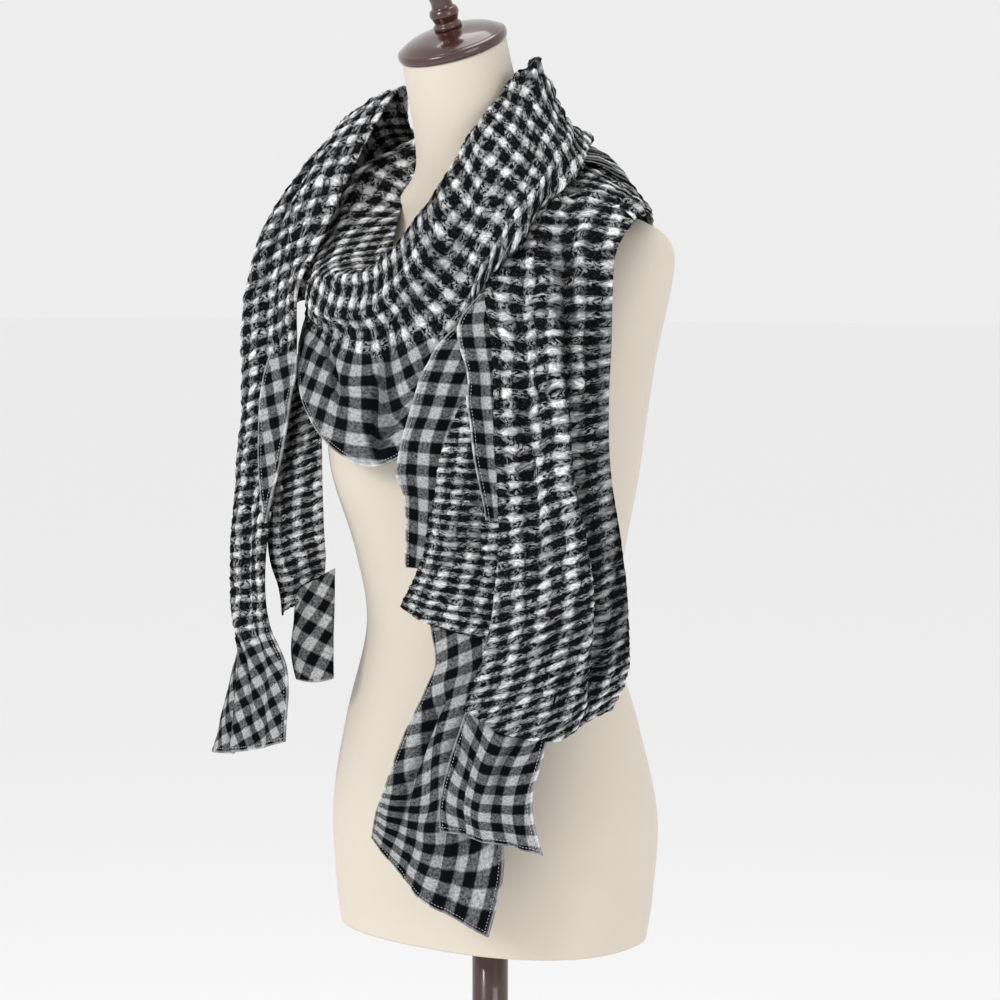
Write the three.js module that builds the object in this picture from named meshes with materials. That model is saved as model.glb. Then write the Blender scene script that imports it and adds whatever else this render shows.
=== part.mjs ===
// A square scarf of checked cotton on a limbless dress form.
//
// The scarf is one square of gingham. Its middle is shrunk into small puckers by elastic threads,
// and a flat border runs all round. It is folded on the slant and wound once round the neck: the
// first end hangs over the left shoulder, the cloth passes behind the neck, falls across the chest
// as a cowl, passes behind the neck again, and hangs over the right shoulder. Each stretch that
// shows is a closed wall of its own. The form is a covered torso with a wooden neck cap, a turned
// finial, a pole and a round foot.
//
// Millimetres, +Z up. The form faces -Y, and its left is +X. The origin is the middle of the
// underside of the foot.
import * as THREE from "three";
import { mergeVertices } from "three/addons/utils/BufferGeometryUtils.js";

// ---- driving dimensions ----
const CLOTH = 1.6; // thickness of one layer of cloth
const SEAM = 0.3; // gap where one piece meets the next
const LAYER_GAP = 0.8; // room between one layer of cloth and what it lies on
const REACH = 13; // how far round a point the layers below it are felt
const EASING = 5; // passes that ease a layer's lift into the cloth round it

const NECK_AXIS_Y = -25; // the neck's axis stands this far in front of the pole
const NECK_TILT = 24; // forward lean of the neck's cut top, degrees
const NECK_TOP = { y: -50, z: 1533, radius: 46 };
const TORSO_BOTTOM = 762;

const FOOT = { radius: 165, rim: 9, height: 44, boss: 24 };
const POLE_RADIUS = 16;

const COLOURS = {
  jersey: { color: 0xd9cdb8, roughness: 0.85, metalness: 0 },
  mahogany: { color: 0x35120c, roughness: 0.22, metalness: 0 },
  puckered: { color: 0x77777c, roughness: 0.95, metalness: 0 },
  gingham: { color: 0x8f9298, roughness: 0.9, metalness: 0 },
};

// ---- the torso ----
// Level sections of the torso: height, half width, depth to the front and to the back of the
// middle line, the middle line's place in y, and the forward lean of the section in degrees.
const TORSO = [
  { z: TORSO_BOTTOM, half: 146, front: 98, back: 106, mid: 0, lean: 0 },
  { z: 800, half: 151, front: 101, back: 112, mid: 0, lean: 0 },
  { z: 870, half: 154, front: 102, back: 117, mid: 0, lean: 0 },
  { z: 950, half: 138, front: 96, back: 100, mid: 0, lean: 0 },
  { z: 1030, half: 117, front: 85, back: 80, mid: 0, lean: 0 },
  { z: 1095, half: 126, front: 90, back: 84, mid: 0, lean: 0 },
  { z: 1160, half: 139, front: 98, back: 92, mid: 0, lean: 0 },
  { z: 1220, half: 148, front: 101, back: 98, mid: 0, lean: 0 },
  { z: 1270, half: 158, front: 95, back: 98, mid: 0, lean: 0 },
  { z: 1310, half: 171, front: 84, back: 88, mid: 2, lean: 0 },
  { z: 1340, half: 181, front: 72, back: 76, mid: 3, lean: 0 },
  { z: 1360, half: 184, front: 62, back: 64, mid: 3, lean: 0 },
  { z: 1376, half: 174, front: 54, back: 56, mid: 2, lean: 0 },
  { z: 1391, half: 140, front: 51, back: 55, mid: 0, lean: 1 },
  { z: 1405, half: 104, front: 51, back: 55, mid: -4, lean: 3 },
  { z: 1420, half: 74, front: 50, back: 53, mid: -10, lean: 6 },
  { z: 1440, half: 56, front: 49, back: 49, mid: -18, lean: 10 },
  { z: 1470, half: 49, front: 47, back: 47, mid: -29, lean: 15 },
  { z: 1505, half: 47, front: 46, back: 46, mid: -41, lean: 21 },
  {
    z: NECK_TOP.z, half: NECK_TOP.radius, front: NECK_TOP.radius, back: NECK_TOP.radius,
    mid: NECK_TOP.y, lean: NECK_TILT,
  },
];
const BUST = { x: 72, z: 1185, height: 27, spread: 44 };
const TORSO_ROUNDNESS = 2.3; // 2 is an ellipse, more is squarer
const TORSO_RINGS = 30;
const TORSO_SIDES = 30;

// ---- the cowl ----
// One row for each direction round the neck's axis, in degrees from straight ahead towards the
// form's left. Each pair is a distance from the axis and a height: the edge against the neck, the
// crest of the roll, its bulge, the line where puckers meet the flat border, and the hem.
const COWL = [
  { angle: -150, neck: [54, 1476], crest: [66, 1498], bulge: [83, 1486], seam: [91, 1464], hem: [93, 1446] },
  { angle: -122, neck: [56, 1460], crest: [71, 1480], bulge: [88, 1472], seam: [95, 1462], hem: [98, 1454] },
  { angle: -98, neck: [58, 1438], crest: [80, 1458], bulge: [99, 1448], seam: [108, 1430], hem: [110, 1416] },
  { angle: -82, neck: [62, 1420], crest: [101, 1440], bulge: [120, 1426], seam: [128, 1396], hem: [127, 1376] },
  { angle: -70, neck: [64, 1402], crest: [113, 1413], bulge: [131, 1394], seam: [139, 1358], hem: [138, 1336] },
  { angle: -58, neck: [66, 1384], crest: [123, 1376], bulge: [141, 1345], seam: [147, 1304], hem: [150, 1284] },
  { angle: -47, neck: [69, 1366], crest: [130, 1352], bulge: [145, 1320], seam: [134, 1289], hem: [149, 1240] },
  { angle: -35, neck: [74, 1350], crest: [128, 1343], bulge: [140, 1310], seam: [126, 1281], hem: [140, 1209] },
  { angle: -22, neck: [78, 1338], crest: [124, 1341], bulge: [134, 1306], seam: [121, 1273], hem: [131, 1190] },
  { angle: -8, neck: [78, 1334], crest: [118, 1346], bulge: [128, 1308], seam: [116, 1271], hem: [125, 1180] },
  { angle: 4, neck: [72, 1344], crest: [108, 1369], bulge: [122, 1320], seam: [113, 1276], hem: [120, 1184] },
  { angle: 15, neck: [66, 1370], crest: [92, 1402], bulge: [117, 1344], seam: [112, 1288], hem: [120, 1200] },
  { angle: 27, neck: [62, 1400], crest: [79, 1433], bulge: [112, 1378], seam: [113, 1306], hem: [110, 1228] },
  { angle: 36, neck: [59, 1426], crest: [72, 1456], bulge: [111, 1394], seam: [117, 1326], hem: [103, 1270] },
  { angle: 42, neck: [58, 1438], crest: [69, 1466], bulge: [109, 1406], seam: [123, 1348], hem: [120, 1326] },
  { angle: 50, neck: [57, 1450], crest: [67, 1477], bulge: [106, 1422], seam: [124, 1376], hem: [125, 1358] },
  { angle: 62, neck: [55, 1464], crest: [64, 1492], bulge: [100, 1446], seam: [118, 1410], hem: [120, 1393] },
  { angle: 76, neck: [54, 1480], crest: [62, 1511], bulge: [88, 1474], seam: [106, 1442], hem: [110, 1425] },
  { angle: 98, neck: [53, 1492], crest: [60, 1520], bulge: [75, 1500], seam: [86, 1470], hem: [90, 1450] },
  { angle: 125, neck: [51, 1498], crest: [57, 1526], bulge: [69, 1508], seam: [79, 1478], hem: [83, 1454] },
  { angle: 152, neck: [49, 1496], crest: [56, 1525], bulge: [69, 1510], seam: [79, 1480], hem: [83, 1455] },
  { angle: 180, neck: [49, 1488], crest: [59, 1515], bulge: [75, 1501], seam: [84, 1472], hem: [87, 1450] },
];

// ---- the hanging stretches ----
// One row for each section across a stretch, from its first end to its last. inner and outer are
// the places of its two edges, bow is how far the section stands out from the line between them,
// peak is where it stands out most, 0 at the inner edge and 1 at the outer, and rise turns the bow
// from level, 0 degrees, to straight up, 90.
const BACK_AND_RIGHT_FALL = [
  { inner: [62, -4, 1450], outer: [96, -34, 1422], bow: 3, rise: 70 },
  { inner: [54, 16, 1456], outer: [118, 16, 1398], bow: 5, rise: 75 },
  { inner: [41, 33, 1460], outer: [128, 64, 1338], bow: 10, rise: 65 },
  { inner: [22, 46, 1463], outer: [98, 104, 1280], bow: 12, rise: 50 },
  { inner: [-2, 49, 1463], outer: [36, 118, 1244], bow: 10, rise: 45 },
  { inner: [-29, 45, 1461], outer: [-34, 122, 1234], bow: 10, peak: 0.45, rise: 45 },
  { inner: [-55, 38, 1450], outer: [-104, 114, 1244], bow: 20, peak: 0.4, rise: 55 },
  { inner: [-88, 33, 1444], outer: [-166, 88, 1272], bow: 40, peak: 0.36, rise: 70 },
  { inner: [-95, 6, 1474], outer: [-214, 48, 1302], bow: 50, peak: 0.36, rise: 80 },
  { inner: [-80, -20, 1506], outer: [-226, 10, 1318], bow: 44, peak: 0.42, rise: 80 },
  { inner: [-83, -50, 1480], outer: [-230, -14, 1305], bow: 44, peak: 0.44, rise: 68 },
  { inner: [-96, -86, 1412], outer: [-234, -26, 1290], bow: 44, peak: 0.44, rise: 50 },
  { inner: [-104, -106, 1352], outer: [-236, -34, 1266], bow: 38, peak: 0.46, rise: 26 },
  { inner: [-116, -116, 1290], outer: [-236, -38, 1238], bow: 30, peak: 0.5, rise: 6 },
  { inner: [-124, -122, 1236], outer: [-234, -42, 1196], bow: 26, peak: 0.5, rise: 0 },
  { inner: [-137, -127, 1170], outer: [-234, -50, 1140], bow: 24, peak: 0.5, rise: 0 },
  { inner: [-149, -130, 1095], outer: [-234, -58, 1080], bow: 20, peak: 0.5, rise: 0 },
  { inner: [-146, -131, 1040], outer: [-228, -68, 1032], bow: 17, peak: 0.5, rise: 0 },
  { inner: [-124, -130, 994], outer: [-232, -84, 986], bow: 14, peak: 0.5, rise: 0 },
  { inner: [-127, -130, 932], outer: [-238, -106, 908], bow: 10, peak: 0.5, rise: -20 },
];
const LEFT_OUTER_FALL = [
  { inner: [24, 70, 1400], outer: [84, 100, 1310], bow: 6, rise: 50 },
  { inner: [46, 52, 1416], outer: [126, 68, 1346], bow: 8, rise: 60 },
  { inner: [56, 22, 1436], outer: [152, 30, 1391], bow: 12, rise: 85 },
  { inner: [62, -12, 1442], outer: [176, -12, 1391], bow: 14, rise: 80 },
  { inner: [68, -50, 1420], outer: [190, -50, 1384], bow: 15, rise: 60 },
  { inner: [78, -86, 1376], outer: [193, -80, 1360], bow: 16, rise: 25 },
  { inner: [93, -108, 1334], outer: [194, -88, 1326], bow: 16, rise: 0 },
  { inner: [103, -122, 1290], outer: [194, -90, 1284], bow: 17, rise: 0 },
  { inner: [111, -133, 1236], outer: [192, -89, 1232], bow: 19, rise: 0 },
  { inner: [117, -139, 1180], outer: [192, -84, 1178], bow: 21, rise: 0 },
  { inner: [120, -142, 1125], outer: [197, -75, 1123], bow: 24, rise: 0 },
  { inner: [116, -144, 1068], outer: [200, -68, 1066], bow: 26, rise: 0 },
  { inner: [103, -146, 1016], outer: [198, -66, 1018], bow: 24, rise: -10 },
  { inner: [92, -148, 985], outer: [184, -72, 984], bow: 20, rise: -45 },
];
const SHOULDER_TUCK = [
  { inner: [172, -24, 1404], outer: [184, -22, 1392], bow: 2, rise: 60 },
  { inner: [173, -34, 1405], outer: [192, -31, 1391], bow: 6, rise: 60 },
  { inner: [175, -44, 1402], outer: [193, -41, 1388], bow: 6, rise: 60 },
  { inner: [177, -54, 1396], outer: [189, -52, 1383], bow: 2, rise: 60 },
];
const LEFT_NECK_BAND = [
  { inner: [86, -118, 1324], outer: [104, -112, 1324], bow: 1, rise: 0 },
  { inner: [72, -121, 1305], outer: [107, -116, 1305], bow: 3, rise: 0 },
  { inner: [71, -123, 1286], outer: [109, -118, 1286], bow: 3, rise: 0 },
  { inner: [80, -126, 1259], outer: [115, -124, 1259], bow: 2, rise: 0 },
  { inner: [86, -130, 1233], outer: [119, -128, 1233], bow: 2, rise: 0 },
  { inner: [96, -134, 1193], outer: [126, -132, 1193], bow: 2, rise: 0 },
  { inner: [106, -137, 1140], outer: [130, -135, 1140], bow: 1, rise: 0 },
];
const LEFT_INNER_FALL = [
  { inner: [92, -122, 1266], outer: [112, -120, 1266], bow: 2, rise: 0 },
  { inner: [79, -127, 1232], outer: [118, -124, 1232], bow: 5, rise: 0 },
  { inner: [62, -131, 1190], outer: [124, -127, 1190], bow: 8, rise: 0 },
  { inner: [48, -134, 1146], outer: [126, -129, 1146], bow: 10, rise: 0 },
  { inner: [34, -137, 1100], outer: [126, -130, 1100], bow: 11, rise: 0 },
  { inner: [14, -140, 1063], outer: [112, -134, 1042], bow: 9, rise: -30 },
];
const LEFT_EDGE_BAND = [
  { inner: [66, -117, 1296], outer: [88, -114, 1296], bow: 2, rise: 0 },
  { inner: [50, -119, 1278], outer: [84, -117, 1274], bow: 2, rise: 0 },
  { inner: [38, -123, 1252], outer: [82, -121, 1250], bow: 3, rise: 0 },
  { inner: [31, -126, 1230], outer: [78, -123, 1230], bow: 3, rise: 0 },
  { inner: [21, -130, 1194], outer: [68, -127, 1194], bow: 3, rise: 0 },
  { inner: [14, -129, 1152], outer: [58, -128, 1152], bow: 3, rise: 0 },
  { inner: [12, -130, 1095], outer: [48, -129, 1095], bow: 2, rise: 0 },
];
const LEFT_OUTER_BORDER = [
  { inner: [98, -147, 1000], outer: [170, -126, 1000], bow: 3, rise: 0 },
  { inner: [91, -151, 976], outer: [162, -129, 968], bow: 5, rise: 0 },
  { inner: [82, -154, 950], outer: [158, -133, 944], bow: 9, rise: 0 },
  { inner: [75, -156, 924], outer: [153, -138, 920], bow: 11, rise: 0 },
  { inner: [71, -157, 902], outer: [156, -141, 898], bow: 11, rise: 0 },
  { inner: [73, -157, 882], outer: [166, -142, 871], bow: 10, rise: 20 },
];
const LEFT_UNDER_FALL = [
  { inner: [44, -137, 1052], outer: [104, -135, 1050], bow: 2, rise: 0 },
  { inner: [52, -139, 1020], outer: [104, -137, 1020], bow: 3, rise: 0 },
  { inner: [44, -141, 998], outer: [100, -139, 995], bow: 4, rise: 0 },
  { inner: [21, -144, 955], outer: [104, -140, 950], bow: 5, rise: 0 },
  { inner: [4, -146, 914], outer: [121, -142, 905], bow: 6, rise: 0 },
  { inner: [-8, -147, 884], outer: [126, -143, 852], bow: 8, rise: -20 },
  { inner: [-11, -148, 864], outer: [111, -144, 796], bow: 11, rise: -50 },
];
const RIGHT_INNER_FALL = [
  { inner: [-126, -93, 1302], outer: [-108, -92, 1300], bow: 1, rise: 0 },
  { inner: [-134, -100, 1272], outer: [-108, -96, 1270], bow: 2, rise: 0 },
  { inner: [-140, -106, 1230], outer: [-106, -102, 1228], bow: 4, rise: 0 },
  { inner: [-150, -111, 1190], outer: [-104, -105, 1190], bow: 6, rise: 0 },
  { inner: [-158, -114, 1140], outer: [-102, -106, 1138], bow: 8, rise: 0 },
  { inner: [-160, -118, 1085], outer: [-101, -106, 1094], bow: 9, rise: 0 },
  { inner: [-151, -124, 1042], outer: [-102, -108, 1070], bow: 7, rise: 0 },
];
const RIGHT_INNER_BORDER = [
  { inner: [-136, -104, 1062], outer: [-100, -93, 1084], bow: 2, rise: 0 },
  { inner: [-134, -109, 1036], outer: [-97, -97, 1050], bow: 3, rise: 0 },
  { inner: [-132, -114, 1008], outer: [-94, -102, 1020], bow: 5, rise: 0 },
  { inner: [-126, -115, 986], outer: [-93, -103, 988], bow: 4, rise: -40 },
];
const RIGHT_BORDER_FOLD = [
  { inner: [-116, -119, 1272], outer: [-146, -125, 1272], bow: 0, rise: 0 },
  { inner: [-118, -121, 1246], outer: [-153, -128, 1248], bow: 3, rise: 0 },
  { inner: [-122, -129, 1212], outer: [-156, -130, 1216], bow: 1, rise: 0 },
  { inner: [-130, -131, 1176], outer: [-156, -131, 1180], bow: 1, rise: 0 },
  { inner: [-141, -132, 1144], outer: [-153, -131, 1146], bow: 0, rise: 0 },
  { inner: [-147, -132, 1124], outer: [-151, -131, 1125], bow: 0, rise: 0 },
];

// ---- folds ----
// Ridges, or troughs where height is less than 0, that run along a stretch. at and end are where a
// fold starts and finishes across the stretch, 0 at the inner edge and 1 at the outer; from and to
// are where it starts and finishes along the stretch; width is its half width across.
const FOLDS = {
  cowl: [
    { at: 0.5, end: 0.52, height: 5, width: 0.06, from: 0.28, to: 0.56 },
    { at: 0.62, end: 0.6, height: -5, width: 0.05, from: 0.3, to: 0.5 },
    { at: 0.36, end: 0.4, height: -4, width: 0.05, from: 0.3, to: 0.52 },
    { at: 0.45, end: 0.5, height: -6, width: 0.06, from: 0.55, to: 0.72 },
    { at: 0.4, end: 0.45, height: -5, width: 0.06, from: 0.8, to: 0.98 },
  ],
  back_and_right_fall: [
    { at: 0.3, end: 0.34, height: -9, width: 0.08, from: 0.05, to: 0.45 },
    { at: 0.55, end: 0.5, height: 8, width: 0.09, from: 0.0, to: 0.42 },
    { at: 0.75, end: 0.72, height: -8, width: 0.07, from: 0.04, to: 0.5 },
    { at: 0.2, end: 0.3, height: -6, width: 0.06, from: 0.45, to: 1.0 },
    { at: 0.42, end: 0.55, height: 7, width: 0.08, from: 0.5, to: 1.0 },
    { at: 0.62, end: 0.7, height: -8, width: 0.07, from: 0.55, to: 1.0 },
  ],
  left_outer_fall: [
    { at: 0.3, end: 0.25, height: -5, width: 0.08, from: 0.3, to: 0.95 },
    { at: 0.72, end: 0.64, height: 9, width: 0.1, from: 0.3, to: 1.0 },
    { at: 0.86, end: 0.84, height: -9, width: 0.07, from: 0.32, to: 0.95 },
    { at: 0.5, end: 0.48, height: 4, width: 0.08, from: 0.4, to: 0.9 },
  ],
  left_inner_fall: [
    { at: 0.35, end: 0.3, height: 3, width: 0.12, from: 0.2, to: 1.0 },
    { at: 0.62, end: 0.62, height: -4, width: 0.1, from: 0.1, to: 1.0 },
  ],
  left_outer_border: [
    { at: 0.3, end: 0.26, height: -4, width: 0.09, from: 0.2, to: 1.0 },
    { at: 0.5, end: 0.5, height: 5, width: 0.1, from: 0.2, to: 1.0 },
    { at: 0.74, end: 0.78, height: -5, width: 0.08, from: 0.15, to: 1.0 },
  ],
  left_under_fall: [
    { at: 0.3, end: 0.32, height: -5, width: 0.08, from: 0.25, to: 1.0 },
    { at: 0.52, end: 0.55, height: 5, width: 0.09, from: 0.3, to: 1.0 },
    { at: 0.76, end: 0.78, height: -4, width: 0.07, from: 0.4, to: 1.0 },
  ],
  right_inner_fall: [{ at: 0.55, end: 0.5, height: 3, width: 0.16, from: 0.2, to: 1.0 }],
};

// ---- points and curves ----
const vec = (x, y, z) => new THREE.Vector3(x, y, z);
const radians = THREE.MathUtils.degToRad;
const smooth = (x, from, to) => THREE.MathUtils.smoothstep(x, from, to);

// A smooth value through a list of numbers, or arrays of numbers, at t from 0 to 1.
function through(list, t, closed = false) {
  const spans = closed ? list.length : list.length - 1;
  const place = Math.min(Math.max(t, 0), 1) * spans;
  const first = Math.min(Math.floor(place), spans - 1);
  const s = place - first;
  const pick = (i) => {
    if (closed) return list[(i + list.length) % list.length];
    return list[Math.min(Math.max(i, 0), list.length - 1)];
  };
  const four = [pick(first - 1), pick(first), pick(first + 1), pick(first + 2)];
  const blend = ([a, b, c, d]) =>
    b + 0.5 * s * (c - a + s * (2 * a - 5 * b + 4 * c - d + s * (3 * (b - c) + d - a)));
  if (Array.isArray(list[0])) return list[0].map((_, k) => blend(four.map((p) => p[k])));
  return blend(four);
}

// A sheet is a grid of points: rows along the stretch, and points across each row.
function grid(rows, columns, place) {
  return Array.from({ length: rows + 1 }, (_, j) =>
    Array.from({ length: columns + 1 }, (_, i) => place(j / rows, i / columns)));
}

// The outward direction at each point of a sheet. side is 1 or -1, and says which face is out.
function outward(sheet, side, closed) {
  const last = sheet.length - 1;
  const width = sheet[0].length - 1;
  return sheet.map((row, j) => row.map((_, i) => {
    const before = closed && j === 0 ? sheet[last - 1][i] : sheet[Math.max(j - 1, 0)][i];
    const after = closed && j === last ? sheet[1][i] : sheet[Math.min(j + 1, last)][i];
    const along = after.clone().sub(before);
    const across = row[Math.min(i + 1, width)].clone().sub(row[Math.max(i - 1, 0)]);
    return across.cross(along).multiplyScalar(side).normalize();
  }));
}

// Raises the folds of a stretch out of its sheet.
function fold(sheet, folds, side, closed = false) {
  const out = outward(sheet, side, closed);
  const rows = sheet.length - 1;
  const columns = sheet[0].length - 1;
  return sheet.map((row, j) => row.map((point, i) => {
    const along = j / rows;
    const across = i / columns;
    let lift = 0;
    for (const { at, end, height, width, from, to } of folds) {
      const middle = THREE.MathUtils.lerp(at, end, along);
      const fade = 0.35 * (to - from);
      const start = from > 0 ? smooth(along, from, from + fade) : 1;
      const finish = to < 1 ? 1 - smooth(along, to - fade, to) : 1;
      lift += height * start * finish * Math.exp(-(((across - middle) / width) ** 2));
    }
    return point.clone().addScaledVector(out[j][i], lift);
  }));
}

// Lifts a sheet clear of the layers below it: where one of their points stands higher than the
// sheet along the sheet's own outward direction, the sheet moves out until it clears that point.
function layOver(sheet, below, side, closed) {
  const cells = new Map();
  const key = (x, y, z) => `${x},${y},${z}`;
  const cellOf = (v) => Math.floor(v / REACH);
  for (const point of below) {
    const name = key(cellOf(point.x), cellOf(point.y), cellOf(point.z));
    if (!cells.has(name)) cells.set(name, []);
    cells.get(name).push(point);
  }
  const steps = [-2, -1, 0, 1, 2];
  const out = outward(sheet, side, closed);
  let lifts = sheet.map((row, j) => row.map((point, i) => {
    const normal = out[j][i];
    let lift = 0;
    for (const a of steps) for (const b of steps) for (const c of steps) {
      const name = key(cellOf(point.x) + a, cellOf(point.y) + b, cellOf(point.z) + c);
      for (const other of cells.get(name) ?? []) {
        const offset = other.clone().sub(point);
        const height = offset.dot(normal);
        const aside = offset.addScaledVector(normal, -height).length();
        if (aside > REACH || height > 2 * REACH) continue;
        const need = height + (LAYER_GAP + CLOTH) * (1 - 0.35 * (aside / REACH) ** 2);
        lift = Math.max(lift, need);
      }
    }
    return lift;
  }));
  for (let pass = 0; pass < EASING; pass += 1) {
    lifts = lifts.map((row, j) => row.map((lift, i) => {
      const near = [row[i - 1], row[i + 1], lifts[j - 1]?.[i], lifts[j + 1]?.[i]];
      const known = near.filter((value) => value !== undefined);
      return Math.max(lift, 0.96 * known.reduce((sum, value) => sum + value, 0) / known.length);
    }));
  }
  return sheet.map((row, j) => row.map((point, i) => point.clone().addScaledVector(out[j][i], lifts[j][i])));
}

// Moves a sheet off the form wherever it would lie nearer to it than clear.
function offForm(sheet, clear) {
  return sheet.map((row) => row.map((point) => {
    let nearest = null;
    let least = Infinity;
    for (const place of nearForm(point)) {
      const distance = place.point.distanceToSquared(point);
      if (distance < least) {
        least = distance;
        nearest = place;
      }
    }
    if (!nearest) return point;
    const height = point.clone().sub(nearest.point).dot(nearest.normal);
    return point.clone().addScaledVector(nearest.normal, Math.max(0, clear - height));
  }));
}

// Points spread closely over the outer face of a sheet, for layOver.
function samples(sheet, keep = () => true) {
  const points = [];
  for (let j = 0; j + 1 < sheet.length; j += 1) {
    for (let i = 0; i + 1 < sheet[0].length; i += 1) {
      for (const s of [0, 0.5]) for (const t of [0, 0.5]) {
        const low = sheet[j][i].clone().lerp(sheet[j][i + 1], s);
        const high = sheet[j + 1][i].clone().lerp(sheet[j + 1][i + 1], s);
        points.push(low.lerp(high, t));
      }
    }
  }
  points.push(...sheet.at(-1));
  points.push(...sheet.map((row) => row.at(-1)));
  return points.filter(keep);
}

// ---- from sheets to solids ----
function solidFrom(points, faces) {
  const geometry = new THREE.BufferGeometry();
  geometry.setAttribute("position", new THREE.Float32BufferAttribute(points.flatMap((p) => p.toArray()), 3));
  geometry.setIndex(faces.flat());
  return geometry;
}

// A closed wall of cloth: the outer face, the inner face one thickness inside it, and the rim.
function wall(sheet, side, closed = false) {
  const out = outward(sheet, side, closed);
  const rows = closed ? sheet.length - 1 : sheet.length;
  const columns = sheet[0].length;
  const points = [];
  for (let j = 0; j < rows; j += 1) points.push(...sheet[j]);
  for (let j = 0; j < rows; j += 1) {
    points.push(...sheet[j].map((p, i) => p.clone().addScaledVector(out[j][i], -CLOTH)));
  }
  const inside = rows * columns;
  const at = (j, i) => (j % rows) * columns + i;
  const faces = [];
  const quad = (a, b, c, d) => faces.push(side > 0 ? [a, b, c, a, c, d] : [a, c, b, a, d, c]);
  const spans = closed ? rows : rows - 1;
  for (let j = 0; j < spans; j += 1) {
    for (let i = 0; i + 1 < columns; i += 1) {
      quad(at(j, i), at(j, i + 1), at(j + 1, i + 1), at(j + 1, i));
      quad(inside + at(j, i), inside + at(j + 1, i), inside + at(j + 1, i + 1), inside + at(j, i + 1));
    }
    quad(at(j, 0), at(j + 1, 0), inside + at(j + 1, 0), inside + at(j, 0));
    const end = columns - 1;
    quad(at(j, end), inside + at(j, end), inside + at(j + 1, end), at(j + 1, end));
  }
  if (!closed) {
    for (let i = 0; i + 1 < columns; i += 1) {
      const top = rows - 1;
      quad(at(0, i), inside + at(0, i), inside + at(0, i + 1), at(0, i + 1));
      quad(at(top, i), at(top, i + 1), inside + at(top, i + 1), inside + at(top, i));
    }
  }
  return solidFrom(points, faces);
}

// ---- the torso's surface ----
function torsoPoint(t, angle) {
  const [z, half, front, back, mid, lean] = through(
    TORSO.map((s) => [s.z, s.half, s.front, s.back, s.mid, s.lean]), t);
  const neck = smooth(z, 1400, 1440);
  const power = THREE.MathUtils.lerp(TORSO_ROUNDNESS, 2, neck);
  const round = (v) => Math.sign(v) * Math.abs(v) ** (2 / power);
  const x = half * round(Math.sin(angle));
  const facing = -Math.cos(angle);
  let y = (facing < 0 ? front : back) * round(facing);
  if (facing < 0) {
    for (const bust of [-BUST.x, BUST.x]) {
      const away = ((x - bust) ** 2 + (z - BUST.z) ** 2) / (2 * BUST.spread ** 2);
      y -= BUST.height * Math.exp(-away) * Math.min(1, -facing * 1.6);
    }
  }
  const tilt = radians(lean);
  return vec(x, mid + y * Math.cos(tilt), z + y * Math.sin(tilt));
}

function torsoGrid(rings, sides) {
  return grid(rings, sides, (t, s) => torsoPoint(t, s * 2 * Math.PI));
}

function torsoSolid() {
  const rings = torsoGrid(TORSO_RINGS, TORSO_SIDES).map((ring) => ring.slice(0, -1));
  const points = rings.flat();
  const faces = [];
  const at = (j, i) => j * TORSO_SIDES + (i % TORSO_SIDES);
  for (let j = 0; j < TORSO_RINGS; j += 1) {
    for (let i = 0; i < TORSO_SIDES; i += 1) {
      faces.push([at(j, i), at(j, i + 1), at(j + 1, i + 1), at(j, i), at(j + 1, i + 1), at(j + 1, i)]);
    }
  }
  const bottom = points.push(vec(0, 0, TORSO_BOTTOM)) - 1;
  const top = points.push(vec(0, NECK_TOP.y, NECK_TOP.z)) - 1;
  for (let i = 0; i < TORSO_SIDES; i += 1) {
    faces.push([bottom, at(0, i + 1), at(0, i)]);
    faces.push([top, at(TORSO_RINGS, i), at(TORSO_RINGS, i + 1)]);
  }
  return solidFrom(points, faces);
}

// ---- the scarf's sheets ----
function cowlSheet(rows, columns) {
  const table = COWL.map((s) => [s.angle, ...s.neck, ...s.crest, ...s.bulge, ...s.seam, ...s.hem]);
  const turn = table.map((s) => [...s]);
  turn.push([table[0][0] + 360, ...table[0].slice(1)]);
  return grid(rows, columns, (t, s) => {
    const row = through(table, t, true);
    const angle = radians(through(turn.map((r) => r[0]), t));
    const guides = [0, 1, 2, 3, 4].map((k) => [row[1 + 2 * k], row[2 + 2 * k]]);
    const [radius, z] = through(guides, s);
    return vec(radius * Math.sin(angle), NECK_AXIS_Y - radius * Math.cos(angle), z);
  });
}

function fallSheet(table, rows, columns) {
  const list = table.map((s) => [...s.inner, ...s.outer, s.bow, s.rise, s.peak ?? 0.5]);
  return grid(rows, columns, (t, s) => {
    const row = through(list, t);
    const inner = vec(...row.slice(0, 3));
    const chord = vec(...row.slice(3, 6)).sub(inner);
    const [bow, rise, peak] = row.slice(6);
    const level = vec(chord.y, -chord.x, 0).normalize();
    if (level.dot(vec(inner.x + 0.5 * chord.x, inner.y + 0.5 * chord.y, 0)) < 0) level.negate();
    const direction = level.multiplyScalar(Math.cos(radians(rise)));
    direction.z = Math.sin(radians(rise));
    const line = chord.clone().normalize();
    direction.addScaledVector(line, -direction.dot(line)).normalize();
    const arch = Math.sin(Math.PI * s ** (Math.log(0.5) / Math.log(peak)));
    return inner.addScaledVector(chord, s).addScaledVector(direction, bow * arch);
  });
}

// ---- laying the scarf on the form, from the lowest layer to the top one ----
const FORM_CELL = 24;
const formCells = new Map();
const formPoints = torsoGrid(150, 120);
const formNormals = outward(formPoints, 1, false);
formPoints.forEach((ring, j) => ring.forEach((point, i) => {
  const name = point.toArray().map((v) => Math.floor(v / FORM_CELL)).join();
  if (!formCells.has(name)) formCells.set(name, []);
  formCells.get(name).push({ point, normal: formNormals[j][i] });
}));

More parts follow.
